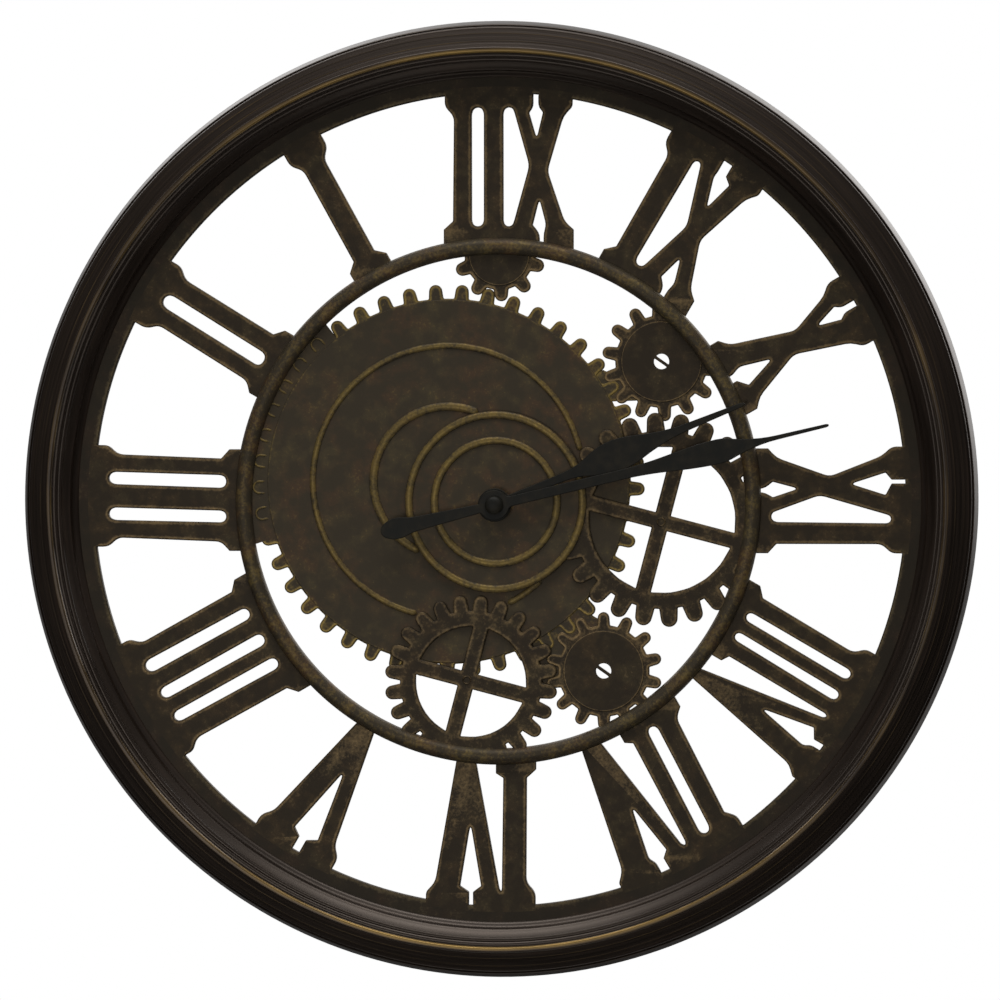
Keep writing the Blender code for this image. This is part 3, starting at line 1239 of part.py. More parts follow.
def make_motor():
    """Stator plate, coil on its core, circuit board and quartz crystal."""
    rotor = (ROTOR_AT[0] - SHAFT_AT[0], ROTOR_AT[1] - SHAFT_AT[1])
    left, right = rotor[0] - 3.6, rotor[0] + 10.2
    low, high = rotor[1] - 8.0, rotor[1] + 13.2
    arm = 2.4
    core = 2.0
    outline = [(left, low), (right, low), (right, high), (left, high)]
    window = [(rotor[0] + 3.9, low + arm), (right - core, low + arm), (right - core, high - arm),
              (rotor[0] + 3.9, high - arm)]
    hole = circle(MAGNET_RADIUS + 0.5, 16, rotor)
    stator = plate_mesh("stator", [outline, window, hole], STATOR_BACK, STATOR_BACK + STATOR_THICKNESS)
    place(stator, "stator", "steel", SHAFT_AT)
    half = (high - low) / 2 - arm - GAP
    flange, winding, inner = COIL_FLANGE_RADIUS, COIL_FLANGE_RADIUS - 0.4, 1.4
    profile = [
        (flange, half), (flange, half - 1.0), (winding, half - 1.0), (winding, 1.0 - half),
        (flange, 1.0 - half), (flange, -half), (inner, -half), (inner, half),
    ]
    coil = turned("coil", profile, 12, "copper", from_shaft(right - core / 2, (low + high) / 2), ring=True)
    coil.rotation_euler = (0.0, 0.0, 0.0)
    coil.location.y = -(STATOR_BACK + STATOR_THICKNESS / 2) * MM
    width, height, thick = BOARD_SIZE
    board_back = CASE_FLOOR + GAP
    board = box_mesh("circuit_board", (BOARD_AT[0] - width / 2, BOARD_AT[1] - height / 2, board_back),
                     (BOARD_AT[0] + width / 2, BOARD_AT[1] + height / 2, board_back + thick))
    place(board, "circuit_board", "board", SHAFT_AT)
    length = CRYSTAL_LENGTH / 2
    crystal = [(0.0, length), (CRYSTAL_RADIUS, length), (CRYSTAL_RADIUS, -length), (0.0, -length)]
    crystal_level = board_back + thick + GAP + CRYSTAL_RADIUS
    sideways(turned("quartz_crystal", crystal, 10, "steel", from_shaft(*BOARD_AT)), crystal_level)


clear_scene()
parts = new_collection("gear_wall_clock")
cutters = new_collection("cutters")
make_frame()
make_dial()
make_numerals()
make_screws()
make_hanger()
make_gears()
make_hub_plate()
make_hands()
make_case()
make_cover()
make_fixings()
make_going_train()
make_motion_work()
make_battery()
make_motor()
for piece in parts.objects:
    if piece.type == "MESH" and not any(step.type == "SCREW" for step in piece.modifiers):
        smooth(piece)
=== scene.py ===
# %% [markdown]
# # Gear wall clock
# A moulded ring frame, 508 mm across, holds an open cast dial: twelve numerals, a chapter ring and
# a set of show gears, all one patinated casting. Two dark hands turn in front of it and a battery
# movement hangs behind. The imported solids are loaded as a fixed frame, and each is then dressed:
# either it gets a finish, or a finer surface takes its place.

import math

import bmesh
import bpy
import numpy as np
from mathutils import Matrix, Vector
from mathutils.geometry import tessellate_polygon


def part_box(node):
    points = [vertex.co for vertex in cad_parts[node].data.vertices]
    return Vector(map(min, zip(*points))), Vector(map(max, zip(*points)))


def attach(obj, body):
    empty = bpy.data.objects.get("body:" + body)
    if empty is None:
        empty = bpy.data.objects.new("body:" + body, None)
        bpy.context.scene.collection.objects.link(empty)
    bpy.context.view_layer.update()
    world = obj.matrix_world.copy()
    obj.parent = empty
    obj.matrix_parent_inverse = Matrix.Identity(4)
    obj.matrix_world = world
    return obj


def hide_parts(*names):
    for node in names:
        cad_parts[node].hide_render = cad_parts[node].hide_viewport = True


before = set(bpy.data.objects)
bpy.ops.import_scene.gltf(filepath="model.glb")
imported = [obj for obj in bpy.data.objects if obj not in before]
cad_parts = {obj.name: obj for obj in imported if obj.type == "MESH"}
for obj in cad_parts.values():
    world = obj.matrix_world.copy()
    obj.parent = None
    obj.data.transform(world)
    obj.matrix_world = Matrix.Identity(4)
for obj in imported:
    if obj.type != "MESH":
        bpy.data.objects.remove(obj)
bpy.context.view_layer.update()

# %% [markdown]
# A dial is easiest to draw the way one looks at it: right, up and forwards from the wall, in
# millimetres from the dial's centre. The world has x to the right, z up and the room on its -y
# side, so one function turns one into the other for whole arrays of points.

# %% Dial coordinates
MM = 0.001
low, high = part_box("frame_ring")
CENTRE_UP = (low.z + high.z) / 2 / MM


def to_world(right, up, forward):
    """World points in metres: x = right, y = minus forward, z = the dial's centre plus up."""
    right, up, forward = np.broadcast_arrays(right, up, forward)
    points = np.stack([right, -forward, CENTRE_UP + up], axis=-1)
    return points.reshape(-1, 3) * MM


def level_of(node):
    """Back and front of a CAD node, in mm from the wall."""
    corner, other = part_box(node)
    return -other.y / MM, -corner.y / MM


def middle_of(node):
    """Middle of a CAD node on the dial, in mm right and up from the dial's centre."""
    corner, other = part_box(node)
    return (corner.x + other.x) / 2 / MM, (corner.z + other.z) / 2 / MM - CENTRE_UP


def half_size(node):
    """Half the width and half the height of a CAD node, in mm."""
    corner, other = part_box(node)
    return (other.x - corner.x) / 2 / MM, (other.z - corner.z) / 2 / MM


print("dial centre at z =", round(CENTRE_UP, 2), "mm; frame depth", level_of("frame_ring"))

# %% [markdown]
# ## The camera
# The clock was photographed from the front with a long lens, about four degrees from the right and
# one from above, which shifts the frame's lip against its outer edge. A long lens at three metres
# gives the same small shift without any lens shift. It aims at a point close to the dial's centre,
# half-way through the frame's depth.

# %% Camera
LENS = 203.77
CAMERA_DISTANCE = 3.0
CAMERA_RIGHT = math.radians(4.3)
CAMERA_ABOVE = math.radians(0.9)
AIM = (1.17, -0.14, 23.0)
scene = bpy.context.scene


def put(name, data):
    """A new object at the origin, linked to the scene."""
    item = bpy.data.objects.new(name, data)
    scene.collection.objects.link(item)
    return item


aim = Vector(to_world(*AIM)[0])
back = Vector((
    math.sin(CAMERA_RIGHT) * math.cos(CAMERA_ABOVE),
    -math.cos(CAMERA_RIGHT) * math.cos(CAMERA_ABOVE),
    math.sin(CAMERA_ABOVE),
))
lens_data = bpy.data.cameras.new("camera")
lens_data.sensor_width = 36.0
lens_data.lens = LENS
lens_data.clip_end = 50.0
camera = put("camera", lens_data)
camera.location = aim + back * CAMERA_DISTANCE
camera.rotation_mode = "QUATERNION"
camera.rotation_quaternion = (-back).to_track_quat("-Z", "Y")
scene.camera = camera
print("camera at", [round(v, 3) for v in camera.location])

# %% [markdown]
# ## Light
# A studio with a white sweep behind the clock. The camera sees it as plain white. In gloss it is
# white behind and above the clock, brighter at the upper left and right, and dark at the sides and
# towards the room, with a weak glow at the lower right. So the left, right and bottom of the
# moulding stay near black, and its shoulder gets pale stripes. A wide soft box hangs above and in
# front, and a weaker one near the camera lifts the face of the dial. First come the small functions
# that add and join shader nodes.

# %% Node helpers
scene.view_settings.view_transform = "Standard"


def add(tree, kind, inputs=None, stops=None, **settings):
    """Adds one node: its settings, then its inputs, each a value or the socket that feeds it."""
    made = tree.nodes.new(kind)
    for name, value in settings.items():
        setattr(made, name, value)
    if stops:
        elements = made.color_ramp.elements
        while len(elements) < len(stops):
            elements.new(0.5)
        for element, (position, colour) in zip(elements, stops):
            element.position = position
            element.color = colour
    for name, value in (inputs or {}).items():
        if isinstance(value, bpy.types.NodeSocket):
            tree.links.new(value, made.inputs[name])
        else:
            made.inputs[name].default_value = value
    return made


def between(tree, value, low_from, high_from, low_to, high_to, **settings):
    """A value carried from one range to another, in a straight line unless set, held at its ends."""
    return add(tree, "ShaderNodeMapRange", {
        "Value": value, "From Min": low_from, "From Max": high_from, "To Min": low_to, "To Max": high_to,
    }, **settings).outputs[0]


def maths(tree, operation, *values):
    """One Math node on up to three values or sockets."""
    return add(tree, "ShaderNodeMath", dict(enumerate(values)), operation=operation).outputs[0]


def sum_of(tree, first, second, share=1.0):
    """first + second * share."""
    return maths(tree, "MULTIPLY_ADD", second, share, first)


# %% [markdown]
# What the world shines depends on the ray: plain white for the camera, a soft gradient for diffuse
# light, and the sweep for gloss. Each part of the sweep is a product of ramps over the direction:
# x to the right, y away from the camera and z up.

# %% Studio world


def studio_world(above, below, front, corners, ceiling):
    """White for the camera. Diffuse light rises from below to above. In gloss the sweep is white
    behind and above the clock, brighter by `corners` at the upper left and right, with a weak glow
    at the lower right, and the ceiling brightens towards the zenith."""
    world = bpy.data.worlds.new("studio")
    world.use_nodes = True
    scene.world = world
    tree = world.node_tree
    tree.nodes.clear()
    path = add(tree, "ShaderNodeLightPath").outputs
    split = add(tree, "ShaderNodeSeparateXYZ", {0: add(tree, "ShaderNodeTexCoord").outputs["Generated"]})
    aside, away, height = split.outputs
    diffuse = between(tree, height, -0.5, 0.6, below, above)
    behind = between(tree, away, 0.1, 0.6, front, 1.0)
    lit_up = between(tree, sum_of(tree, height, aside, 0.25), 0.05, 0.45, 0.06, 1.0)
    glow = between(tree, maths(tree, "MULTIPLY", aside, height), -0.08, -0.25, 0.0, 0.18)
    sweep = maths(tree, "MULTIPLY", behind, maths(tree, "MAXIMUM", lit_up, glow))
    stronger = between(tree, maths(tree, "ABSOLUTE", aside), 0.1, 0.4, 1.0, corners)
    overhead = between(tree, height, 0.7, 0.95, 0.0, ceiling)
    mirrored = maths(tree, "MAXIMUM", maths(tree, "MULTIPLY", sweep, stronger), overhead)
    gloss = maths(tree, "MAXIMUM", path["Is Glossy Ray"], path["Is Transmission Ray"])
    seen = add(tree, "ShaderNodeMix", {0: gloss, 2: diffuse, 3: mirrored}, data_type="FLOAT").outputs[0]
    strength = add(tree, "ShaderNodeMix", {0: path["Is Camera Ray"], 2: seen, 3: 1.0}, data_type="FLOAT")
    light = add(tree, "ShaderNodeBackground", {
        "Color": (1.0, 1.0, 1.0, 1.0), "Strength": strength.outputs[0],
    })
    add(tree, "ShaderNodeOutputWorld", {"Surface": light.outputs[0]})


studio_world(above=0.74, below=0.2, front=0.03, corners=3.8, ceiling=1.5)
print("world:", scene.world.name)

# %% [markdown]
# Both soft boxes are rectangular lamps that point at the dial's centre.

# %% Soft boxes


def soft_box(name, right, up, forward, size, watts):
    """A rectangular lamp that points at the dial's centre; places in metres from that centre."""
    lamp = bpy.data.lights.new(name, "AREA")
    lamp.shape = "RECTANGLE"
    lamp.size, lamp.size_y = size
    lamp.energy = watts
    item = put(name, lamp)
    item.location = (right, -forward, CENTRE_UP * MM + up)
    towards = Vector((0.0, 0.0, CENTRE_UP * MM)) - item.location
    item.rotation_mode = "QUATERNION"
    item.rotation_quaternion = towards.to_track_quat("-Z", "Y")


soft_box("soft_box_above", 0.0, 1.6, 0.8, (1.3, 0.6), 14.0)
soft_box("fill_front", -0.4, -0.35, 2.2, (0.6, 0.6), 6.8)

# %% [markdown]
# ## Materials
# Colours are written as sRGB hex codes, and the sizes of patterns in millimetres. A few functions
# turn them into a Principled shader and the nodes that feed it.

# %% Material helpers


def srgb(code):
    """Linear colour of an sRGB hex code: (c + 0.055) / 1.055 to the power 2.4, channel by channel."""
    values = [int(code[i:i + 2], 16) / 255 for i in (1, 3, 5)]
    return (*[v / 12.92 if v <= 0.04045 else ((v + 0.055) / 1.055) ** 2.4 for v in values], 1.0)


def new_material(name, metallic=0.0, roughness=0.5, specular=0.5):
    """A Principled material with its plain numbers; returns it, its tree, shader and Object coords."""
    made = bpy.data.materials.new(name)
    made.use_nodes = True
    tree = made.node_tree
    shader = tree.nodes["Principled BSDF"]
    shader.inputs["Metallic"].default_value = metallic
    shader.inputs["Roughness"].default_value = roughness
    shader.inputs["Specular IOR Level"].default_value = specular
    return made, tree, shader, add(tree, "ShaderNodeTexCoord").outputs["Object"]


def feed(tree, shader, **sockets):
    """Links sockets to the shader's inputs, named as in base_color=socket."""
    for name, socket in sockets.items():
        tree.links.new(socket, shader.inputs[name.replace("_", " ").title()])


def ramp(tree, value, *stops):
    """A colour that follows the value through stops of (position, sRGB hex code)."""
    colours = [(position, srgb(code)) for position, code in stops]
    return add(tree, "ShaderNodeValToRGB", {0: value}, colours).outputs[0]


def per_mm(size):
    """Noise scale, per metre, that gives features of about this size in mm."""
    return 1.0 / (size * MM)


def noise(tree, place, size, detail=3.0, roughness=0.5):
    """The grey value of a noise whose features are about this size in mm."""
    made = add(tree, "ShaderNodeTexNoise", {
        "Vector": place, "Scale": per_mm(size), "Detail": detail, "Roughness": roughness,
    })
    return made.outputs[0]


# %% [markdown]
# ## The floor
# The clock hangs high on a wall that the photograph doesn't show. A pale floor lies far below it,
# where the camera at the front doesn't see it and the dark underside of the frame doesn't mirror it.

# %% Floor
FLOOR_UP = -1600.0
FLOOR_RADIUS = 600.0
FLOOR_FORWARD = 150.0
FLOOR_CORNERS = 64
# Matt card, a little uneven in tone, so that it spreads a soft light and mirrors nothing
paper, tree, shader, place = new_material("paper_sweep_matt", roughness=0.9, specular=0.1)
feed(tree, shader, base_color=ramp(tree, noise(tree, place, 3.0), (0.3, "#ecebe8"), (0.7, "#f4f3f0")))

angles = np.linspace(0.0, 2 * np.pi, FLOOR_CORNERS, endpoint=False)
floor_mesh = bpy.data.meshes.new("floor")
rim = to_world(FLOOR_RADIUS * np.cos(angles), FLOOR_UP, FLOOR_FORWARD + FLOOR_RADIUS * np.sin(angles))
floor_mesh.from_pydata(rim.tolist(), [], [list(range(FLOOR_CORNERS))])
floor_mesh.materials.append(paper)
floor = put("floor", floor_mesh)
print("floor at z =", round((CENTRE_UP + FLOOR_UP) * MM, 3), "m")

# %% [markdown]
# ## The dial's finish: cast metal, patinated and rubbed
# The dial is a casting with a dark brown patina. Just inside each edge and on the beads it was
# rubbed thin, so that the yellow metal glows through as a brown gold. Each surface carries a `wear`
# value, 1 where it was rubbed most. Blotches a few millimetres wide make the rubbing uneven, slow
# clouds lead from an olive to a reddish brown, and a fine grain keeps the casting from looking like
# plastic.

# %% Patinated casting
WEAR = "wear"


def blend(tree, factor, first, second):
    """A colour between two, each a colour or a socket."""
    return add(tree, "ShaderNodeMix", {0: factor, 6: first, 7: second}, data_type="RGBA").outputs[2]


def bump_of(tree, shader, height, depth_mm, strength=1.0):
    """Makes a grey value a relief this many mm deep."""
    made = add(tree, "ShaderNodeBump", {
        "Height": height, "Distance": depth_mm * MM, "Strength": strength,
    })
    tree.links.new(made.outputs[0], shader.inputs["Normal"])


def patina_over_brass(name, dark, olive, red, gold, cloud_size):
    """Patina colours by clouds; wear plus fine blotches decides how far the brown gold shows."""
    made, tree, shader, place = new_material(name, specular=0.4)
    shader.inputs["Specular Tint"].default_value = (1.0, 0.85, 0.66, 1.0)
    wear = add(tree, "ShaderNodeAttribute", attribute_name=WEAR).outputs["Fac"]
    cloud = noise(tree, place, cloud_size, 3.0, 0.55)
    hue = noise(tree, place, 2.6 * cloud_size, 2.0)
    fine = noise(tree, place, 1.6, 3.0, 0.6)
    grain = noise(tree, place, 0.5, 2.0)
    thick = between(tree, cloud, 0.38, 0.68, 0.0, 1.0, interpolation_type="SMOOTHSTEP")
    patina = blend(tree, thick, srgb(dark), ramp(tree, hue, (0.42, olive), (0.58, red)))
    rub = sum_of(tree, sum_of(tree, sum_of(tree, wear, fine, 1.5), cloud, 1.1), grain, 0.5)
    rubbed = between(tree, rub, 1.75, 2.75, 0.0, 1.0)
    feed(tree, shader, base_color=blend(tree, rubbed, patina, srgb(gold)),
         metallic=between(tree, rubbed, 0.0, 1.0, 0.1, 0.6),
         roughness=between(tree, rubbed, 0.0, 1.0, 0.55, 0.4))
    bump_of(tree, shader, sum_of(tree, fine, grain, 0.5), 0.09, 0.55)
    return made


# Olive brown for ring, large gear and hub plate, a darker, redder one for numerals and other gears,
# and for the flange the same patina made darker with little gold: painted shade for the frame's shadow
cast_dial = patina_over_brass(
    "brass_casting_brown_patina", "#302a20", "#3d3524", "#402f21", "#7f6b3a", 9.0)
cast_numerals = patina_over_brass(
    "brass_casting_rubbed_patina", "#221b13", "#302819", "#322617", "#766243", 7.0)
cast_painted_shade = patina_over_brass(
    "brass_casting_patina_painted_shade", "#1b1712", "#241e15", "#261b14", "#5c5038", 10.0)
print("materials:", [m.name for m in (cast_dial, cast_numerals, cast_painted_shade)])

# %% [markdown]
# ## Building blocks: a mesh from arrays
# Every new surface is a table of points, row by row. One helper makes the faces between the rows,
# one turns a closed surface so that its faces look outwards, and one hands the finished arrays to
# Blender, joins the points that coincide and lets the piece ride on its body.

# %% Mesh helpers


def grid_faces(rows, columns, closed_rows, closed_columns, first=0):
    """Four-sided faces between neighbouring points of a table: (i, j), (i+1, j), (i+1, j+1), (i, j+1)."""
    i, j = np.meshgrid(
        np.arange(rows if closed_rows else rows - 1),
        np.arange(columns if closed_columns else columns - 1), indexing="ij",
    )
    down, along = (i + 1) % rows, (j + 1) % columns
    corners = [i * columns + j, down * columns + j, down * columns + along, i * columns + along]
    return (np.stack(corners, axis=-1).reshape(-1, 4) + first).tolist()


def outwards(points, faces):
    """Turns all faces round if the closed surface encloses a negative volume."""
    fans = np.array([(f[0], f[k], f[k + 1]) for f in faces for k in range(1, len(f) - 1)])
    a, b, c = points[fans[:, 0]], points[fans[:, 1]], points[fans[:, 2]]
    volume = np.einsum("ij,ij->i", a, np.cross(b, c)).sum() / 6
    return [f[::-1] for f in faces] if volume < 0 else faces


def new_piece(name, shells, finish, body="clock", stands_for=(), sharp=38.0):
    """One object from closed shells, each (points in metres, faces, wear of each point)."""
    points, faces, wear, start = [], [], [], 0
    for shell_points, shell_faces, shell_wear in shells:
        turned_faces = outwards(shell_points, shell_faces)
        faces += [[corner + start for corner in face] for face in turned_faces]
        points.append(shell_points)
        wear.append(np.broadcast_to(shell_wear, len(shell_points)))
        start += len(shell_points)
    mesh = bpy.data.meshes.new(name)
    mesh.from_pydata(np.concatenate(points).tolist(), [], faces)
    layer = mesh.attributes.new(WEAR, "FLOAT", "POINT")
    layer.data.foreach_set("value", np.concatenate(wear).astype(np.float32))
    work = bmesh.new()
    work.from_mesh(mesh)
    bmesh.ops.remove_doubles(work, verts=work.verts, dist=0.002 * MM)
    work.to_mesh(mesh)
    work.free()
    mesh.materials.append(finish)
    mesh.shade_smooth()
    mesh.set_sharp_from_angle(angle=math.radians(sharp))
    piece = put(name, mesh)
    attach(piece, body)
    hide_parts(*stands_for)
    print(name, len(mesh.polygons), "faces")
    return piece


# %% [markdown]
# Most pieces are round. One function places points on circles, and another carries a closed profile
# all the way round its centre.

# %% Turned shapes


def circles(centre, radius, turn, depth):
    """World points: right = centre + radius cos a, up = centre + radius sin a, at the depth."""
    return to_world(centre[0] + radius * np.cos(turn), centre[1] + radius * np.sin(turn), depth)


def full_turn(steps):
    """Angles of so many equal steps round a circle, in radians."""
    return np.linspace(0.0, 2 * np.pi, steps, endpoint=False)


def turned_shell(profile, steps, centre=(0.0, 0.0), wear=0.0):
    """A closed profile (radius, depth) carried round: right = radius cos a, up = radius sin a."""
    profile = np.asarray(profile, float)
    points = circles(centre, profile[:, 0], full_turn(steps)[:, None], profile[:, 1])
    worn = np.tile(np.broadcast_to(wear, len(profile)), steps)
    return points, grid_faces(steps, len(profile), True, True), worn


def arc_points(centre, radius, start, end, count):
    """Points on an arc: centre + radius (cos a, sin a), a in degrees from start to end."""
    turn = np.radians(np.linspace(start, end, count))
    return np.stack([centre[0] + radius * np.cos(turn), centre[1] + radius * np.sin(turn)], axis=-1)


# %% [markdown]
# ## The frame
# A ring turned or moulded in one piece: outer side, a small bead, a slope of five fine steps, the
# round lip, two small beads inside it and a cove down to the dial. Its profile is drawn as straight
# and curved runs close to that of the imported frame, and carried round 240 steps. The steps lie
# almost flat and their risers stand upright, with hard corners: at the bottom of the ring a slanted
# face would mirror the pale floor. The wear value runs high on the narrow crests, where the finish
# was rubbed thin.

# %% Frame profile
FRAME_STEPS = 240


def curve_run(start, bulge, end, count):
    """Quadratic curve through (1-t)^2 start + 2t(1-t) bulge + t^2 end, without its last point."""
    t = np.linspace(0.0, 1.0, count, endpoint=False)[:, None]
    start, bulge, end = (np.asarray(p, float)[:2] for p in (start, bulge, end))
    return (1 - t) ** 2 * start + 2 * t * (1 - t) * bulge + t ** 2 * end


# Each run: start (radius, depth, wear), bulge point of its curve and number of points
FRAME_RUNS = [
    ((233.3, 0.0, 0.0), (240.0, 0.0), 2),
    ((252.0, 0.0, 0.0), (254.0, 0.0), 5),
    ((254.0, 2.0, 0.1), (254.0, 8.0), 3),
    ((254.0, 16.0, 0.0), (253.2, 19.0), 5),
    ((252.0, 22.0, 0.0), (251.8, 22.6), 3),
    ((251.4, 22.7, 0.1), (251.3, 22.5), 2),
    ((251.1, 22.3, 0.25), (250.9, 22.3), 2),
    ((250.7, 22.8, 0.25), (250.5, 24.2), 3),
    ((249.9, 24.4, 0.2), (249.4, 24.5), 3),
    ((249.0, 24.6, 0.0), (249.0, 26.0), 1),
    ((249.0, 29.8, 0.2), (248.8, 29.9), 1),
    ((248.6, 29.9, 0.0), (247.6, 30.2), 1),
    ((246.5, 30.6, 0.0), (246.5, 32.0), 1),
    ((246.5, 33.9, 0.65), (246.3, 34.0), 1),
    ((246.0, 34.0, 0.05), (245.0, 34.2), 1),
    ((244.1, 34.6, 0.0), (244.1, 36.0), 1),
    ((244.1, 37.5, 0.2), (243.8, 37.6), 1),
    ((243.7, 37.6, 0.0), (242.8, 37.9), 1),
    ((241.8, 38.2, 0.0), (241.8, 40.0), 1),
    ((241.8, 41.8, 0.7), (241.5, 41.9), 1),
    ((241.2, 41.9, 0.05), (240.8, 42.0), 1),
    ((240.2, 42.3, 0.0), (240.2, 43.0), 1),
    ((240.2, 43.9, 0.1), (239.6, 44.1), 1),
    ((238.6, 44.4, 0.1), (238.5, 44.8), 3),
    # On the lip's inner side the wear runs highest: rubbed gold, and in part a painted highlight of the
    # light from above
    ((238.0, 44.95, 0.45), (237.3, 45.0), 3),
    ((236.7, 45.0, 0.75), (235.9, 45.0), 5),
    ((235.6, 44.2, 0.95), (235.4, 43.6), 2),
    ((235.3, 43.0, 0.2), (235.3, 42.0), 1),
    ((235.3, 41.4, 0.0), (234.9, 41.5), 2),
    ((234.2, 41.5, 0.35), (233.7, 41.4), 2),
    ((233.3, 41.0, 0.1), (233.3, 40.0), 1),
    ((233.3, 38.8, 0.1), (232.5, 39.0), 3),
    ((232.2, 38.9, 0.3), (231.7, 38.8), 2),
    ((231.2, 38.4, 0.1), (231.2, 37.0), 1),
    ((231.2, 36.0, 0.1), (229.6, 34.2), 5),
    ((228.0, 33.2, 0.3), (227.5, 33.0), 2),
    ((227.2, 32.6, 0.1), (227.2, 30.0), 1),
    ((227.2, 27.4, 0.1), (226.6, 26.0), 4),
    ((225.2, 25.6, 0.0), (224.0, 25.0), 3),
    ((223.8, 24.3, 0.0), (228.0, 24.3), 2),
    ((233.3, 24.3, 0.0), (233.3, 12.0), 2),
]
profile_parts, wear_parts = [], []
for run, following in zip(FRAME_RUNS, FRAME_RUNS[1:] + FRAME_RUNS[:1]):
    (start, bulge, count), end = run, following[0]
    profile_parts.append(curve_run(start, bulge, end, count))
    wear_parts.append(np.linspace(start[2], end[2], count, endpoint=False))
frame_profile = np.concatenate(profile_parts)
frame_wear = np.concatenate(wear_parts)
print("frame profile:", len(frame_profile), "points")

# %% [markdown]
# The finish of the frame is a near-black brown lacquer. Where it was rubbed, along the crests of the
# mouldings, a brown gold shows in long faint strokes that follow the ring. Along the lip the gold is
# made stronger towards the top and bottom of the ring and weaker at its sides, by height alone: that
# part is a painted highlight of the light from above. The strokes come from a noise read in polar
# coordinates: the angle stretched over a long arc, the radius over a millimetre.

# %% Frame finish


def round_the_ring(tree, place, arc_mm, across_mm, depth_mm, radius=240.0):
    """Ring coordinates (angle * radius / arc, radius / across, depth / step) for long strokes."""
    centred = add(tree, "ShaderNodeMapping", {
        "Vector": place, "Location": (0.0, 0.0, -CENTRE_UP * MM),
    }, vector_type="POINT").outputs[0]
    split = add(tree, "ShaderNodeSeparateXYZ", {0: centred})
    angle = maths(tree, "ARCTAN2", split.outputs["Z"], split.outputs["X"])
    flat = add(tree, "ShaderNodeCombineXYZ", {
        0: split.outputs["X"], 1: split.outputs["Z"], 2: 0.0,
    }).outputs[0]
    distance = add(tree, "ShaderNodeVectorMath", {0: flat}, operation="LENGTH").outputs["Value"]
    turns = radius / arc_mm
    round_x = maths(tree, "MULTIPLY", maths(tree, "COSINE", angle), turns)
    round_y = maths(tree, "MULTIPLY", maths(tree, "SINE", angle), turns)
    across = maths(tree, "MULTIPLY", distance, per_mm(across_mm))
    depth = maths(tree, "MULTIPLY", split.outputs["Y"], per_mm(depth_mm))
    layer = sum_of(tree, across, depth)
    return add(tree, "ShaderNodeCombineXYZ", {0: round_x, 1: round_y, 2: layer}).outputs[0]


frame_lacquer, tree, shader, place = new_material("brown_lacquer_rubbed_gold_and_painted_highlight", roughness=0.4)
shader.inputs["Specular Tint"].default_value = (1.0, 0.84, 0.72, 1.0)
wear = add(tree, "ShaderNodeAttribute", attribute_name=WEAR).outputs["Fac"]
strokes_at = round_the_ring(tree, place, 55.0, 1.1, 1.6)
strokes = add(tree, "ShaderNodeTexNoise", {"Vector": strokes_at, "Scale": 1.0, "Detail": 3.0}).outputs[0]
cloud = noise(tree, place, 38.0, 3.0)
tone = ramp(tree, strokes, (0.35, "#16100c"), (0.55, "#1e1712"), (0.78, "#291e17"))
# Painted highlight: by height from the dial's centre, the lip's gold grows towards the top and bottom of
# the ring and fades at its sides
height = add(tree, "ShaderNodeSeparateXYZ", {0: place}).outputs["Z"]
from_middle = maths(tree, "ABSOLUTE", maths(tree, "SUBTRACT", height, CENTRE_UP * MM))
ends = between(tree, from_middle, 150.0 * MM, 235.0 * MM, -0.3, 0.25)
on_lip = between(tree, wear, 0.5, 0.8, 0.0, 1.0)
reach = maths(tree, "MULTIPLY", ends, on_lip)
rub = sum_of(tree, sum_of(tree, sum_of(tree, wear, strokes, 0.5), cloud, 0.5), reach)
rubbed = between(tree, rub, 0.85, 1.9, 0.0, 1.0, interpolation_type="SMOOTHSTEP")
feed(tree, shader, base_color=blend(tree, rubbed, tone, srgb("#8f7440")),
     metallic=between(tree, rubbed, 0.0, 1.0, 0.0, 0.7),
     roughness=between(tree, strokes, 0.0, 1.0, 0.3, 0.42))
bump_of(tree, shader, sum_of(tree, strokes, cloud, 0.5), 0.08, 0.4)
print("frame finish:", frame_lacquer.name)

# %% [markdown]
# At the back the frame has a pocket for the hanger plate and a deeper cavity behind its keyhole,
# where the head of the wall screw goes. They are cut out of the finished ring with a Boolean, from
# the plate's own box, and the modifier is applied so that the mesh is final.

# %% Frame with its pocket
POCKET_GAP = 0.3
CAVITY_REACH = 5.6
CAVITY_DEPTH = 9.0


def box_cutter(corner, other):
    """A box between two corners in mm on the dial, as a scratch object."""
    steps = np.array([(x, y, z) for x in (0, 1) for y in (0, 1) for z in (0, 1)], float)
    spots = np.asarray(corner) + steps * (np.asarray(other) - np.asarray(corner))
    points = to_world(spots[:, 0], spots[:, 1], spots[:, 2])
    faces = [[0, 1, 3, 2], [4, 6, 7, 5], [0, 4, 5, 1], [2, 3, 7, 6], [0, 2, 6, 4], [1, 5, 7, 3]]
    mesh = bpy.data.meshes.new("cutter")
    mesh.from_pydata(points.tolist(), [], outwards(points, faces))
    return put("cutter", mesh)


def cut_away(piece, cutters):
    """Subtracts each cutter from the piece, bakes the result into its mesh and drops the cutters."""
    for cutter in cutters:
        step = piece.modifiers.new("cut", "BOOLEAN")
        step.operation = "DIFFERENCE"
        step.solver = "EXACT"
        step.object = cutter
    graph = bpy.context.evaluated_depsgraph_get()
    finished = bpy.data.meshes.new_from_object(piece.evaluated_get(graph))
    piece.modifiers.clear()
    piece.data = finished
    for cutter in cutters:
        bpy.data.objects.remove(cutter, do_unlink=True)


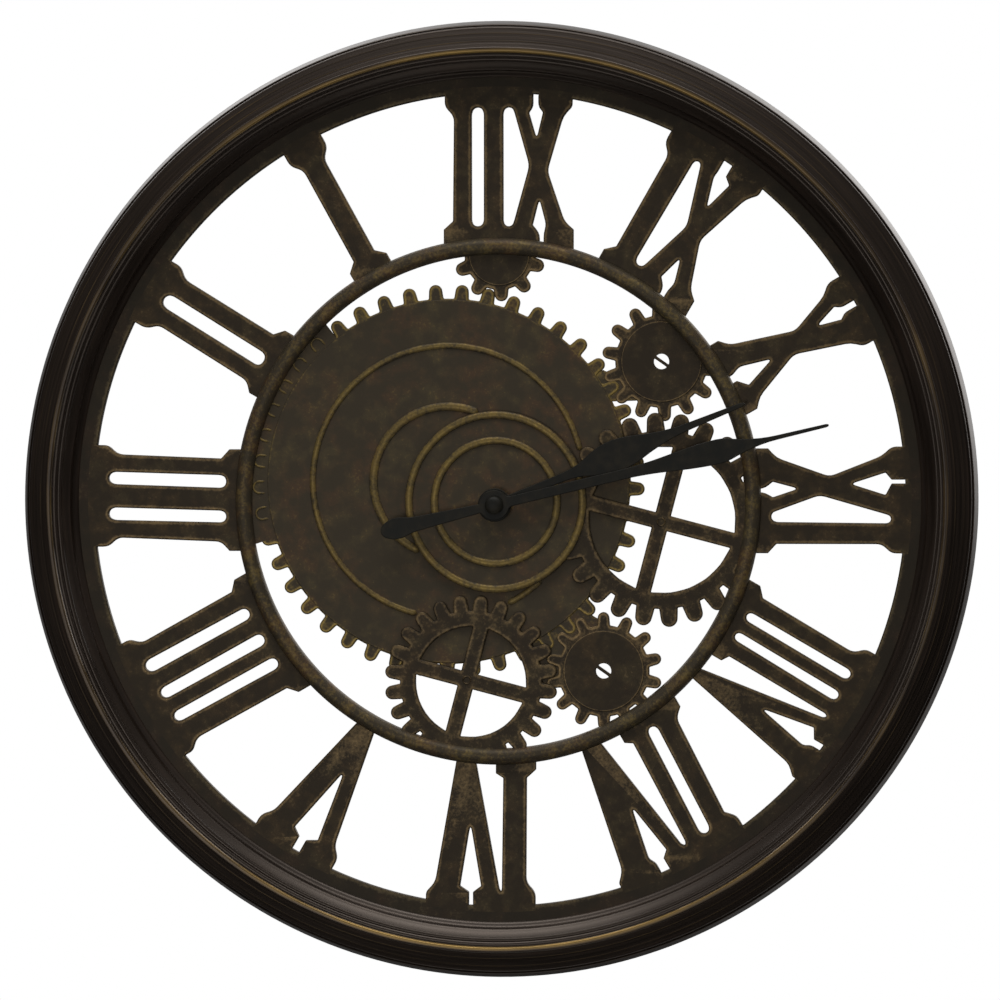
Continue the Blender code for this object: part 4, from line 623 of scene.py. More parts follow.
moulding = new_piece(
    "frame_moulding", [turned_shell(frame_profile, FRAME_STEPS, wear=frame_wear)],
    frame_lacquer, stands_for=["frame_ring"],
)
plate_back, plate_front = level_of("hanger_plate")
hanger_up = middle_of("hanger_plate")[1]
half_long, half_wide = (half + POCKET_GAP for half in half_size("hanger_plate"))
pocket_floor = plate_front + POCKET_GAP
cut_away(moulding, [
    box_cutter((-half_long, hanger_up - half_wide, -1.0),
               (half_long, hanger_up + half_wide, pocket_floor)),
    box_cutter((-CAVITY_REACH, hanger_up - CAVITY_REACH, pocket_floor - 1.0),
               (CAVITY_REACH, hanger_up + CAVITY_REACH - 1.0, CAVITY_DEPTH)),
])
print("frame after the cuts:", len(moulding.data.polygons), "faces")

# %% [markdown]
# ## Outlines of the cast pieces
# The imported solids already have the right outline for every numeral, hand and hole. The outline is
# read from the faces that lie at one level of the solid, its edges are chained into loops, and its
# corners are then rounded as a casting's are: a hard corner gets a small radius, and the short
# straight runs that stand for an arc become a curve.

# %% Outlines from the solids


def solid_outline(node, level):
    """Closed loops (right, up in mm) round the faces of a node at a level; outer first, then holes."""
    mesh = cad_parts[node].data
    co = np.empty(len(mesh.vertices) * 3)
    mesh.vertices.foreach_get("co", co)
    co = co.reshape(-1, 3) / MM
    keys = np.round(co * 1000).astype(np.int64)
    _, firsts, merged = np.unique(keys, axis=0, return_index=True, return_inverse=True)
    merged = merged.reshape(-1)
    mesh.calc_loop_triangles()
    corners = np.empty(len(mesh.loop_triangles) * 3, np.int32)
    mesh.loop_triangles.foreach_get("vertices", corners)
    triangles = merged[corners.reshape(-1, 3)]
    spots = co[firsts]
    at_level = np.all(np.abs(-spots[:, 1][triangles] - level) < 0.01, axis=1)
    triangles = triangles[at_level]
    edges = np.concatenate([triangles[:, [0, 1]], triangles[:, [1, 2]], triangles[:, [2, 0]]])
    there = set(map(tuple, edges.tolist()))
    following = {a: b for a, b in there if (b, a) not in there}
    loops = []
    while following:
        start, spot = next(iter(following.items()))
        chain = [start]
        del following[start]
        while spot != start:
            chain.append(spot)
            spot = following.pop(spot)
        loop = spots[chain][:, [0, 2]] - (0.0, CENTRE_UP)
        loops.append(drop_straight(loop))
    loops.sort(key=lambda loop: -abs(signed_area(loop)))
    return [loop if (signed_area(loop) > 0) == (k == 0) else loop[::-1] for k, loop in enumerate(loops)]


def signed_area(loop):
    """Half the sum of x1 y2 - x2 y1; positive when the loop runs anticlockwise."""
    following = np.roll(loop, -1, axis=0)
    return 0.5 * np.sum(loop[:, 0] * following[:, 1] - following[:, 0] * loop[:, 1])


# %% [markdown]
# At each of its points the outline turns by some angle. A point where it hardly turns is dropped,
# and any other corner becomes a short curve.

# %% Rounded corners


def edges_at(loop):
    """The edge that leads to each point and the edge that leaves it."""
    return loop - np.roll(loop, 1, axis=0), np.roll(loop, -1, axis=0) - loop


def turns_at(loop):
    """Angle by which the outline turns left at each point, from the two edges that meet there."""
    before, after = edges_at(loop)
    cross = before[:, 0] * after[:, 1] - before[:, 1] * after[:, 0]
    return np.arctan2(cross, np.sum(before * after, axis=1))


def drop_straight(loop, least=0.4):
    """Drops the points at which the outline turns by less than a few tenths of a degree."""
    return loop[np.abs(np.degrees(turns_at(loop))) > least]


def round_corners(loop, convex, concave, shallow=46.0, longest=3.0):
    """Each corner becomes a quadratic curve from one edge to the next, its control point the corner.
    It starts radius * tan(turn / 2) before the corner, or for a shallow turn half an edge."""
    turn = turns_at(loop)
    before, after = edges_at(loop)
    long_before = np.linalg.norm(before, axis=1)
    long_after = np.linalg.norm(after, axis=1)
    radius = np.where(turn > 0, convex, concave)
    wanted = radius * np.tan(np.abs(turn) / 2)
    wanted = np.where(np.abs(np.degrees(turn)) < shallow, longest, wanted)
    reach = np.minimum(wanted, np.minimum(long_before, long_after) * 0.499)
    start = loop - before / long_before[:, None] * reach[:, None]
    end = loop + after / long_after[:, None] * reach[:, None]
    out = []
    for k in range(len(loop)):
        count = int(np.clip(abs(np.degrees(turn[k])) / 14.0, 1, 7)) + 1
        t = np.linspace(0.0, 1.0, count + 1)[:, None]
        out.append((1 - t) ** 2 * start[k] + 2 * t * (1 - t) * loop[k] + t ** 2 * end[k])
    rounded = np.concatenate(out)
    steps = np.linalg.norm(rounded - np.roll(rounded, 1, axis=0), axis=1)
    return rounded[steps > 0.02]


# %% [markdown]
# ## A cast plate with rubbed edges
# A cast plate is more than its outline pushed back: its edge is rounded over, and the patina wears
# thin just inside that edge. The rows of the surface follow the outline: back edge, top of the wall,
# a quarter round, and a band across the face in which the wear fades. How far a row may move in is
# limited by the width of the piece there, found by casting a ray from each point to the far side.
# Should the rows still cross at a tight spot, the plate is made again with smaller insets.

# %% Cast plates


def inward_normals(loop):
    """Mean of the two edges' left-hand normals, made longer at a corner so that the inset is even."""
    before, after = edges_at(loop)
    before /= np.linalg.norm(before, axis=1)[:, None]
    after /= np.linalg.norm(after, axis=1)[:, None]
    mean = before + after
    normal = np.stack([-mean[:, 1], mean[:, 0]], axis=-1)
    normal /= np.linalg.norm(normal, axis=1)[:, None]
    cosine = normal[:, 0] * -before[:, 1] + normal[:, 1] * before[:, 0]
    return normal / np.maximum(cosine, 0.7)[:, None]


def room_inside(loop, normals, loops):
    """Distance along each inward normal to the nearest edge of any loop."""
    starts = np.concatenate(loops)
    spans = np.concatenate([np.roll(l, -1, axis=0) - l for l in loops])
    apart = starts[None] - loop[:, None]
    cross = normals[:, None, 0] * spans[None, :, 1] - normals[:, None, 1] * spans[None, :, 0]
    cross = np.where(np.abs(cross) < 1e-9, 1e-9, cross)
    far = (apart[..., 0] * spans[None, :, 1] - apart[..., 1] * spans[None, :, 0]) / cross
    share = (apart[..., 0] * normals[:, None, 1] - apart[..., 1] * normals[:, None, 0]) / cross
    far = np.where((far > 0.05) & (share > -0.001) & (share < 1.001), far, 1e3)
    return far.min(axis=1)


def corner_limit(loop):
    """Radius of the outline where it bulges outwards: an inset past it would fold over."""
    turn = turns_at(loop)
    steps = np.linalg.norm(np.roll(loop, -1, axis=0) - loop, axis=1)
    width = (steps + np.roll(steps, 1)) / 2
    return np.where(turn > 0.02, width / np.maximum(turn, 0.02), 1e3)


def near_least(values, reach):
    """The least of each value and its neighbours within reach places along the loop."""
    shifted = [np.roll(values, k) for k in range(-reach, reach + 1)]
    return np.min(shifted, axis=0)


# %% [markdown]
# The last rows of all loops are joined by triangles. These show too whether rows have crossed: then
# they cover another area than the one between the rows.

# %% Filled faces


def flat_fill(rows):
    """Triangles between closed rows of (x, y), as indices into all rows; None if the rows cross."""
    flat = np.concatenate(rows)
    area = sum(signed_area(row) for row in rows)
    found = tessellate_polygon([[Vector((*spot, 0.0)) for spot in row] for row in rows])
    found = np.array(found).reshape(-1, 3)
    a, b, c = flat[found[:, 0]], flat[found[:, 1]], flat[found[:, 2]]
    doubled = (b[:, 0] - a[:, 0]) * (c[:, 1] - a[:, 1]) - (b[:, 1] - a[:, 1]) * (c[:, 0] - a[:, 0])
    if abs(np.abs(doubled).sum() / 2 - area) > 0.003 * area:
        return None
    return [list(t) if d > 0 else list(t[::-1]) for t, d in zip(found.tolist(), doubled)]


# %% [markdown]
# A plate is then built loop by loop, with its rows from the back edge round to the face, and its
# front and back are filled last.

# %% A plate from its loops
# Insets stop at these shares of the room to the far side and of the radius of a bulge
ROOM_SHARE, BULGE_SHARE = 0.42, 0.92
PLAIN_INSET = 0.25
ROWS_OF_WEAR = np.array([0.0, 0.0, 0.1, 0.45, 0.9, 1.0, 0.55, 0.0])


def plate_shell(loops, back, front, rounding=0.8, band=1.5, edge_wear=1.0, flat_wear=0.0, adjust=None,
                plain_holes=False, squeeze=1.0):
    """A plate from its loops. Rows: back, wall, quarter round of the rounding, band. adjust may
    change each point's inset limit, front and wear, where the plate runs into another."""
    points, faces, wear, first, last_rows, back_rows = [], [], [], 0, [], []
    for which, loop in enumerate(loops):
        normals = inward_normals(loop)
        room = near_least(room_inside(loop, normals, loops), 2) * ROOM_SHARE
        bulge = near_least(corner_limit(loop), 1) * BULGE_SHARE
        limit = np.minimum(room, bulge) * squeeze
        top = np.full(len(loop), float(front))
        plain = plain_holes and which > 0
        shine = np.full(len(loop), 0.0 if plain else 1.0)
        if plain:
            limit = np.minimum(limit, PLAIN_INSET)
        if adjust:
            limit, top, shine = adjust(loop, limit, top, shine)
        inner = np.minimum(limit, rounding)
        wide = np.minimum(limit, rounding + band)
        rows, depths = [loop, loop], [np.full(len(loop), float(back)), top - inner]
        for angle in np.radians([30.0, 60.0, 90.0]):
            rows.append(loop + normals * (inner * (1 - np.cos(angle)))[:, None])
            depths.append(top - inner * (1 - np.sin(angle)))
        for share in (0.2, 0.55, 1.0):
            rows.append(loop + normals * (inner + (wide - inner) * share)[:, None])
            depths.append(top)
        table = np.stack([np.column_stack([row, depth]) for row, depth in zip(rows, depths)])
        count = len(loop)
        points.append(table.reshape(-1, 3))
        faces += grid_faces(len(rows), count, False, True, first)
        worn = ROWS_OF_WEAR[:, None] * edge_wear * shine[None] + flat_wear
        wear.append(worn.reshape(-1))
        back_rows.append(np.arange(first, first + count))
        last_rows.append(np.arange(first + (len(rows) - 1) * count, first + len(rows) * count))
        first += len(rows) * count
    points = np.concatenate(points)
    for rows, step in ((last_rows, 1), (back_rows, -1)):
        order = np.concatenate(rows)
        flat = flat_fill([points[row, :2] for row in rows])
        if flat is None:
            print("insets made smaller:", round(squeeze * 0.8, 2))
            return plate_shell(loops, back, front, rounding, band, edge_wear, flat_wear, adjust,
                               plain_holes, squeeze * 0.8)
        faces += [[int(order[i]) for i in face][::step] for face in flat]
    # the wall rows run from back to front, so their faces look out of the solid as they are
    return to_world(points[:, 0], points[:, 1], points[:, 2]), faces, np.concatenate(wear)


# %% [markdown]
# ## The flange and the twelve numerals
# On the real dial the numerals grow out of the flange with no seam. Here each numeral's top edge
# reaches a little over the flange, a hundredth of a millimetre proud of it, and its wear is nil
# there, so that the joint doesn't show. The feet of the strokes run under the chapter ring.

# %% Flange
FLANGE_BACK, DIAL_FACE = level_of("dial_flange")
WINDOW_RADIUS = 215.6
FLANGE_RADIUS = half_size("dial_flange")[0]
EDGE_ROUND = 0.8
quarter = np.radians([0.0, 30.0, 60.0, 90.0])
window_edge = np.stack([
    WINDOW_RADIUS + EDGE_ROUND * (1 - np.cos(quarter)),
    DIAL_FACE - EDGE_ROUND * (1 - np.sin(quarter)),
], axis=-1)
flange_profile = np.concatenate([
    window_edge, [(WINDOW_RADIUS + 1.6, DIAL_FACE), (WINDOW_RADIUS + 3.0, DIAL_FACE)],
    [(FLANGE_RADIUS, DIAL_FACE), (FLANGE_RADIUS, FLANGE_BACK), (WINDOW_RADIUS, FLANGE_BACK)],
])
flange_wear = np.array([0.0, 0.1, 0.4, 0.8, 0.5, 0.0, 0.0, 0.0, 0.0])
# The flange's darker finish is painted shade for the frame's shadow on it
new_piece("dial_flange_casting", [turned_shell(flange_profile, FRAME_STEPS, wear=flange_wear)],
          cast_painted_shade, stands_for=["dial_flange"])

# %% [markdown]
# Each numeral is its own loop or loops: the strokes with their serifs outside, the slots and waists
# inside. The arc along the top is moved out under the frame's edge before the plate is made, so that
# numeral and flange meet as one casting.

# %% Numerals
TONGUE_FROM = 214.9
TONGUE_RADIUS = 218.8
PROUD = 0.012


def into_flange(loop, limit, top, shine):
    """The top arc is pushed out over the flange, with hardly any rounding and no wear."""
    radius = np.linalg.norm(loop, axis=1)
    tongue = radius > TONGUE_FROM
    limit = np.where(tongue, PROUD, limit)
    top = np.where(tongue, top + PROUD, top)
    return limit, top, np.where(tongue, 0.0, shine)


for hour in range(1, 13):
    node = "numeral_%d" % hour
    loops = []
    for loop in solid_outline(node, DIAL_FACE):
        loop = round_corners(loop, convex=0.7, concave=0.9)
        radius = np.linalg.norm(loop, axis=1)
        stretch = np.where(radius > TONGUE_FROM, TONGUE_RADIUS / radius, 1.0)
        loops.append(loop * stretch[:, None])
    shell = plate_shell(loops, FLANGE_BACK - PROUD, DIAL_FACE, edge_wear=0.85, adjust=into_flange)
    new_piece(node + "_casting", [shell], cast_numerals, stands_for=[node])

# %% [markdown]
# ## The chapter ring
# A half-round bead that lies over the feet of the numerals and the outer teeth of the gears. It was
# hardly rubbed: only a little of the brown gold shows along its crest.

# %% Chapter ring
RING_BACK, RING_FRONT = level_of("chapter_ring")
RING_OUTER = half_size("chapter_ring")[0]
RING_WIDTH = 8.9
RING_SUNK = 0.6
RING_AT = np.array(middle_of("chapter_ring"))
ring_middle = RING_OUTER - RING_WIDTH / 2


def bead_profile(width, height, count=13):
    """Half a superellipse: across = width/2 cos a, up = height sin(a)^0.85, with a flat base."""
    a = np.linspace(0.0, np.pi, count)
    return np.stack([width / 2 * np.cos(a), height * np.sin(a) ** 0.85], axis=-1)


across, rise = bead_profile(RING_WIDTH, RING_FRONT - RING_BACK + RING_SUNK, 17).T
ring_profile = np.stack([ring_middle + across, RING_BACK - RING_SUNK + rise], axis=-1)
ring_wear = 0.3 * (rise / rise.max()) ** 2
new_piece("chapter_ring_bead", [turned_shell(ring_profile, FRAME_STEPS, RING_AT, ring_wear)],
          cast_dial, stands_for=["chapter_ring"])

# %% [markdown]
# ## Raised lines
# Rings and tooth outlines stand up from the plates as low beads. A bead is a half-round profile
# carried along a path; at an open end it shrinks to nothing, as a cast line does.

# %% Beads along a path


def bead_shell(path, level, width, height, closed, taper=1.6, wear=1.0, sunk=0.25, sides=7):
    """Half-round bead: path + across * left normal, depth = level - sunk + rise; its ends taper."""
    before, after = edges_at(path)
    if not closed:
        before[0], after[-1] = after[0], before[-1]
    along = before / np.linalg.norm(before, axis=1)[:, None]
    along = along + after / np.linalg.norm(after, axis=1)[:, None]
    along /= np.linalg.norm(along, axis=1)[:, None]
    left = np.stack([-along[:, 1], along[:, 0]], axis=-1)
    size = np.ones(len(path))
    if not closed:
        steps = np.linalg.norm(np.diff(path, axis=0), axis=1)
        run = np.concatenate([[0.0], np.cumsum(steps)])
        size = np.sqrt(np.clip(np.minimum(run, run[-1] - run) / taper, 0.0, 1.0))
    across, rise = bead_profile(width, height + sunk, sides).T
    spots = path[:, None] + left[:, None] * (across[None, :, None] * size[:, None, None])
    depth = level - sunk + rise[None] * size[:, None]
    faces = grid_faces(len(path), sides, closed, True)
    worn = wear * np.clip(rise / rise.max(), 0.0, 1.0) ** 1.5
    points = to_world(spots[..., 0], spots[..., 1], depth)
    return points, faces, np.tile(worn, len(path))


def ring_path(centre, radius, count):
    """A closed circle of so many points."""
    return arc_points(centre, radius, 0.0, 360.0 * (count - 1) / count, count)


# %% [markdown]
# Where another plate lies over a raised ring, that stretch of the ring is left out.

# %% Stretches that stay in view


def inside(points, loop):
    """Even-odd test: counts how many edges of the loop a ray to the right of each point crosses."""
    a, b = loop, np.roll(loop, -1, axis=0)
    straddles = (a[None, :, 1] > points[:, None, 1]) != (b[None, :, 1] > points[:, None, 1])
    slope = (b[:, 0] - a[:, 0]) / np.where(b[:, 1] == a[:, 1], 1e-9, b[:, 1] - a[:, 1])
    x = a[None, :, 0] + (points[:, None, 1] - a[None, :, 1]) * slope[None]
    return (straddles & (points[:, None, 0] < x)).sum(axis=1) % 2 == 1


def open_runs(path, hidden):
    """The stretches of a closed path that aren't hidden, each as its own open path."""
    if not hidden.any():
        return [path]
    first = int(np.argmax(hidden))
    path, hidden = np.roll(path, -first, axis=0), np.roll(hidden, -first)
    edges = np.flatnonzero(np.diff(hidden.astype(int)))
    ends = np.append(edges[1::2], len(path) - 1)
    return [path[a + 1:b + 1] for a, b in zip(edges[0::2], ends) if b - a > 6]


# %% [markdown]
# ## The hub plate
# A round plate with two beads, whose hole is a little below and left of its own middle because the
# hands' shaft is. Its surface is lofted: each row is a circle whose centre slides from the shaft to
# the plate's middle while its radius grows.

# %% Hub plate
HUB_BACK = level_of("hub_plate")[0]
HUB_FACE = 26.4
hub_centre = np.array(middle_of("hub_plate"))
HUB_RADIUS = half_size("hub_plate")[0]
shaft = np.array(middle_of("hand_cap"))
SHAFT_HOLE = 4.3
HUB_FLAT = 28.0
HUB_BEADS = (46.1, 32.6)
HUB_BEAD_WIDTH = 4.3
HUB_BEAD_HEIGHT = 1.6


def lofted_shell(rows, steps):
    """Rows of (centre, radius, depth, wear): circle k is centre_k + radius_k (cos a, sin a)."""
    centres, radii, depths, worn = (np.array(column) for column in zip(*rows))
    points = circles(centres.T[..., None], radii[:, None], full_turn(steps), depths[:, None])
    return points, grid_faces(len(rows), steps, True, True), np.repeat(worn, steps)


bore = SHAFT_HOLE + 0.3
hub_rows = [(shaft, SHAFT_HOLE, HUB_BACK, 0.0), (shaft, SHAFT_HOLE, HUB_FACE - 0.3, 0.3),
            (shaft, bore, HUB_FACE, 0.4)]
hub_rows += [(shaft + (hub_centre - shaft) * t, bore + (HUB_FLAT - SHAFT_HOLE) * t, HUB_FACE, 0.0)
             for t in (0.25, 0.6, 1.0)]
for bead in HUB_BEADS[::-1]:
    across, rise = bead_profile(HUB_BEAD_WIDTH, HUB_BEAD_HEIGHT, 11).T
    shine = 0.85 * (rise / rise.max()) ** 1.5
    hub_rows += [(hub_centre, bead + a, HUB_FACE + r, s)
                 for a, r, s in zip(across[::-1], rise[::-1], shine[::-1])]
hub_rows += [(hub_centre, HUB_RADIUS - 0.1, HUB_FACE - 0.3, 0.4),
             (hub_centre, HUB_RADIUS, HUB_FACE - 0.8, 0.2),
             (hub_centre, HUB_RADIUS, HUB_BACK - 0.3, 0.0)]
new_piece("hub_plate_casting", [lofted_shell(hub_rows, 160)], cast_dial, stands_for=["hub_plate"])

# %% [markdown]
# ## The show gears
# They don't turn: all are part of the dial. The large gear and the three small ones that mesh with
# it lie in one plane, and the two spoked gears and the hub plate lie on top. A tooth narrows a
# little from its foot and ends in half a circle. The outline is that one tooth, turned to each place
# round the gear. Whatever reaches the chapter ring runs on under its bead and ends there.

# %% Gear outlines
# Each gear: middle, number of teeth, radius at foot and tip, width of a tooth, clockwise turn
GEARS = {
    "main_gear": ((-26.4, 9.7), 45, 96.9, 104.4, 7.8, 4.2),
    "small_gear_top": ((0.8, 129.6), 10, 18.5, 24.5, 7.9, 33.2),
    "small_gear_upper": ((86.8, 73.2), 14, 24.5, 31.7, 7.3, 22.3),
    "small_gear_under": ((56.2, -90.6), 14, 24.3, 31.2, 6.9, -0.2),
    "spoked_gear_right": ((87.3, -10.5), 24, 47.2, 56.8, 9.9, 10.9),
    "spoked_gear_lower": ((-14.1, -96.5), 24, 37.8, 46.0, 8.3, 7.1),
}
TOOTH_TAPER = 0.9
FOOT_ROUND = 1.0
UNDER_RING = 134.0


def turned_by(points, degrees):
    """Points turned clockwise about the origin."""
    a = math.radians(degrees)
    return points @ np.array([[math.cos(a), -math.sin(a)], [math.sin(a), math.cos(a)]])


def gear_outline(name):
    """Foot, flank, half circle of radius taper * width / 2, flank, foot and the arc to the next."""
    centre, count, root, tip, width, turn = GEARS[name]
    half, end = width / 2, width / 2 * TOOTH_TAPER
    lean = math.asin(half / root)
    a = np.radians(np.linspace(0.0, 180.0, 11))
    round_tip = np.stack([end * np.cos(a), tip - end + end * np.sin(a)], axis=-1)
    b = np.linspace(lean, 2 * math.pi / count - lean, 4)[:3]
    foot_arc = np.stack([-root * np.sin(b), root * np.cos(b)], axis=-1)
    tooth = np.concatenate([[(half, root * math.cos(lean))], round_tip, foot_arc])
    loop = np.concatenate([turned_by(tooth, turn - k * 360.0 / count) for k in range(count)])
    return under_the_ring(round_corners(loop + centre, 0.3, FOOT_ROUND))


# %% [markdown]
# A gear that reaches the chapter ring is cut off by a circle under its bead. Where outline and
# circle cross is worked out, and an arc joins each pair of crossings.

# %% Cut at the chapter ring


def under_the_ring(loop, radius=UNDER_RING):
    """Keeps what lies within a circle about the ring's middle; a stretch outside becomes an arc."""
    loop = loop - RING_AT
    out = np.linalg.norm(loop, axis=1) > radius
    if not out.any():
        return loop + RING_AT
    start = int(np.argmax(~out & np.roll(out, 1)))
    loop, out = np.roll(loop, -start, axis=0), np.append(np.roll(out, -start), False)
    edges = np.flatnonzero(np.diff(out.astype(int)))
    parts, begin = [], 0
    for last_in, last_out in zip(edges[0::2], edges[1::2]):
        ends = []
        for inner, outer in ((last_in, last_in + 1), ((last_out + 1) % len(loop), last_out)):
            p, d = loop[inner], loop[outer] - loop[inner]
            t = (-(p @ d) + math.sqrt((p @ d) ** 2 - (d @ d) * (p @ p - radius ** 2))) / (d @ d)
            ends.append(math.atan2(*(p + d * t)[::-1]))
        span = (ends[1] - ends[0] + math.pi) % (2 * math.pi) - math.pi
        a = ends[0] + np.linspace(0.0, span, max(3, int(abs(span) * radius / 1.5)))
        parts += [loop[begin:last_in + 1], radius * np.stack([np.cos(a), np.sin(a)], axis=-1)]
        begin = last_out + 1
    return np.concatenate(parts + [loop[begin:]]) + RING_AT


def holes_of(node, level):
    """The holes in a node's face at a level, with slightly rounded corners."""
    return [round_corners(hole, 0.35, 0.5) for hole in solid_outline(node, level)[1:]]


GEAR_BACK = level_of("main_gear")[0]
outlines = {name: gear_outline(name) for name in GEARS}
print("gear outlines:", {name: len(loop) for name, loop in outlines.items()})

# %% [markdown]
# The body of the large gear is a disc that stands a third of a millimetre above its teeth and is
# darker than they are. It carries two raised rings, hidden where the hub plate and the lower gear
# cover them. In three places webs fill the gaps between teeth. On the left the teeth are only
# drawn on the web, as thin raised lines.

# %% Large gear
MAIN_CENTRE, MAIN_TEETH, MAIN_ROOT, MAIN_TIP, _, MAIN_TURN = GEARS["main_gear"]
MAIN_PITCH = 360.0 / MAIN_TEETH
# Raised rings: radius, width and height; webs: bearings on the left, outlines beside the small gears
TEETH_FACE = DIAL_FACE - 0.35
WEB_FACE = DIAL_FACE - 0.6
LEFT_WEB_FACE = TEETH_FACE + 0.03
RELIEF_RINGS = ((72.0, 3.6, 1.2), (39.7, 4.8, 1.5))
WEB_FROM, WEB_TO = 128.0, 198.0
WEB_UPPER = [(55.9, 68.8), (57.9, 67.7), (64.9, 69.5), (78.2, 53.6), (74.6, 52.5), (61.0, 52.1),
             (54.3, 51.5), (50.1, 63.2), (52.4, 67.0)]
WEB_UNDER = [(50.7, -61.7), (53.3, -62.9), (54.3, -74.6), (35.7, -101.1), (34.3, -99.5), (30.3, -99.7),
             (19.5, -100.1), (19.6, -90.5), (17.1, -82.6), (11.3, -74.6), (33.1, -53.4), (43.7, -54.5)]
TEETH_WEAR = 0.24


def anticlockwise(loop):
    """The loop as an array that runs anticlockwise."""
    loop = np.asarray(loop, float)
    return loop if signed_area(loop) > 0 else loop[::-1]


main_holes = [hole for hole in holes_of("main_gear", GEAR_BACK)
              if np.linalg.norm(hole.mean(axis=0) - shaft) < 8.0]
print("holes in the large gear:", len(main_holes))
main_disc = ring_path(MAIN_CENTRE, MAIN_ROOT - 0.6, 360)
main_shells = [
    plate_shell([outlines["main_gear"]] + main_holes, GEAR_BACK, TEETH_FACE, band=1.2,
                flat_wear=TEETH_WEAR),
    plate_shell([main_disc] + main_holes, GEAR_BACK + 0.5, DIAL_FACE, rounding=0.35, band=1.0,
                edge_wear=0.35),
]
for web in (WEB_UPPER, WEB_UNDER):
    main_shells.append(plate_shell([round_corners(anticlockwise(web), 0.3, 0.3)], GEAR_BACK + 0.4,
                                   WEB_FACE, rounding=0.4, edge_wear=0.5, flat_wear=0.1))
for radius, width, height in RELIEF_RINGS:
    path = ring_path(MAIN_CENTRE, radius, 360)
    hidden = np.linalg.norm(path - hub_centre, axis=1) < HUB_RADIUS - 0.5
    for node in ("spoked_gear_right", "spoked_gear_lower"):
        hidden |= inside(path, outlines[node])
    for run in open_runs(path, hidden):
        main_shells.append(bead_shell(run, DIAL_FACE, width, height, False, wear=0.75))

web_turn = np.radians(np.linspace(WEB_FROM, WEB_TO, 60))
along = np.stack([np.cos(web_turn), np.sin(web_turn)], axis=-1)
offset = MAIN_CENTRE - RING_AT
inward = along @ offset
reach = -inward + np.sqrt(inward ** 2 + UNDER_RING ** 2 - offset @ offset)
web_outer = MAIN_CENTRE + along * reach[:, None]
web_inner = MAIN_CENTRE + along[::-1] * (MAIN_ROOT - 3.0)
web_loop = np.concatenate([web_outer, web_inner])
main_shells.append(plate_shell([web_loop], GEAR_BACK + 0.3, LEFT_WEB_FACE, rounding=0.02, band=0.5,
                               edge_wear=0.0))


def tooth_path(index, half, foot, tip):
    """Line round one tooth of the large gear, from foot to foot, with a half circle at its tip."""
    a = np.radians(np.linspace(0.0, 180.0, 13))
    round_tip = np.stack([half * np.cos(a), tip - half + half * np.sin(a)], axis=-1)
    flank = np.array([[half, foot], [half, foot + 2.0]])
    spots = np.concatenate([flank, round_tip, flank[::-1] * (-1, 1)])
    return MAIN_CENTRE + turned_by(spots, MAIN_TURN + index * MAIN_PITCH)


for index in range(MAIN_TEETH):
    bearing = (90.0 - MAIN_PITCH * index - MAIN_TURN) % 360.0
    if WEB_FROM + 1.0 < bearing < WEB_TO - 1.0:
        path = tooth_path(index, 3.1, MAIN_ROOT, MAIN_TIP - 0.6)
        main_shells.append(bead_shell(path, LEFT_WEB_FACE, 1.4, 0.5, False, wear=0.75))
new_piece("main_gear_casting", main_shells, cast_dial, stands_for=["main_gear"])

# %% [markdown]
# A small gear is built like the large one: a dark disc on lighter teeth, with a hole that a bar
# crosses. The spoked gears have a rim, four spokes and a small boss where the spokes cross, which
# is a little off the middle of the gear, as on the casting. Their faces lie a quarter of a
# millimetre below the hub plate's, so that the plate covers the teeth that run under it.

# %% Small and spoked gears
# Radius of each small gear's disc; place of each boss from the middle of its gear
SMALL_DISCS = {"small_gear_top": 16.2, "small_gear_upper": 21.5, "small_gear_under": 21.5}
BOSSES = {"spoked_gear_right": (-0.5, -1.0), "spoked_gear_lower": (-2.1, 1.0)}
SPOKED_FACE = HUB_FACE - 0.25
for node, radius in SMALL_DISCS.items():
    holes = holes_of(node, DIAL_FACE)
    disc = under_the_ring(ring_path(np.array(GEARS[node][0]), radius, 160))
    shells = [
        plate_shell([outlines[node]] + holes, GEAR_BACK + 0.1, TEETH_FACE + 0.06, band=1.2,
                    flat_wear=TEETH_WEAR, plain_holes=True),
        plate_shell([disc] + holes, GEAR_BACK + 0.6, DIAL_FACE + 0.06, rounding=0.4, band=0.6,
                    edge_wear=0.8, plain_holes=True),
    ]
    new_piece(node + "_casting", shells, cast_numerals, stands_for=[node])

for node, boss in BOSSES.items():
    bottom, cad_top = level_of(node)
    shells = [plate_shell([outlines[node]] + holes_of(node, cad_top), bottom, SPOKED_FACE,
                          edge_wear=0.55, flat_wear=0.12)]
    path = ring_path(np.array(GEARS[node][0]) + boss, 2.0, 24)
    shells.append(bead_shell(path, SPOKED_FACE, 0.9, 0.5, True, wear=0.5))
    new_piece(node + "_casting", shells, cast_numerals, stands_for=[node])

# %% [markdown]
# ## Hands, cap, nut and washer
# The hands are stamped from sheet, so their edges are only just broken, and painted a dull black
# with a green cast. They are pressed on their tubes and held by a round cap. Behind them a washer
# and a hexagon nut clamp the movement to the dial.

# %% Dull black paint
hand_paint, tree, shader, place = new_material(
    "sheet_steel_dull_black_paint", roughness=0.6, specular=0.2)
mist = noise(tree, place, 6.0, 4.0)
speck = noise(tree, place, 0.6, 2.0)
feed(tree, shader, roughness=between(tree, mist, 0.0, 1.0, 0.45, 0.65), base_color=ramp(
    tree, sum_of(tree, mist, speck, 0.25), (0.4, "#12120d"), (0.62, "#191711"), (0.85, "#231f16")))
bump_of(tree, shader, speck, 0.05, 0.5)

# %% [markdown]
# Both hands are plates made from the outlines of their solids, each riding on its own train.

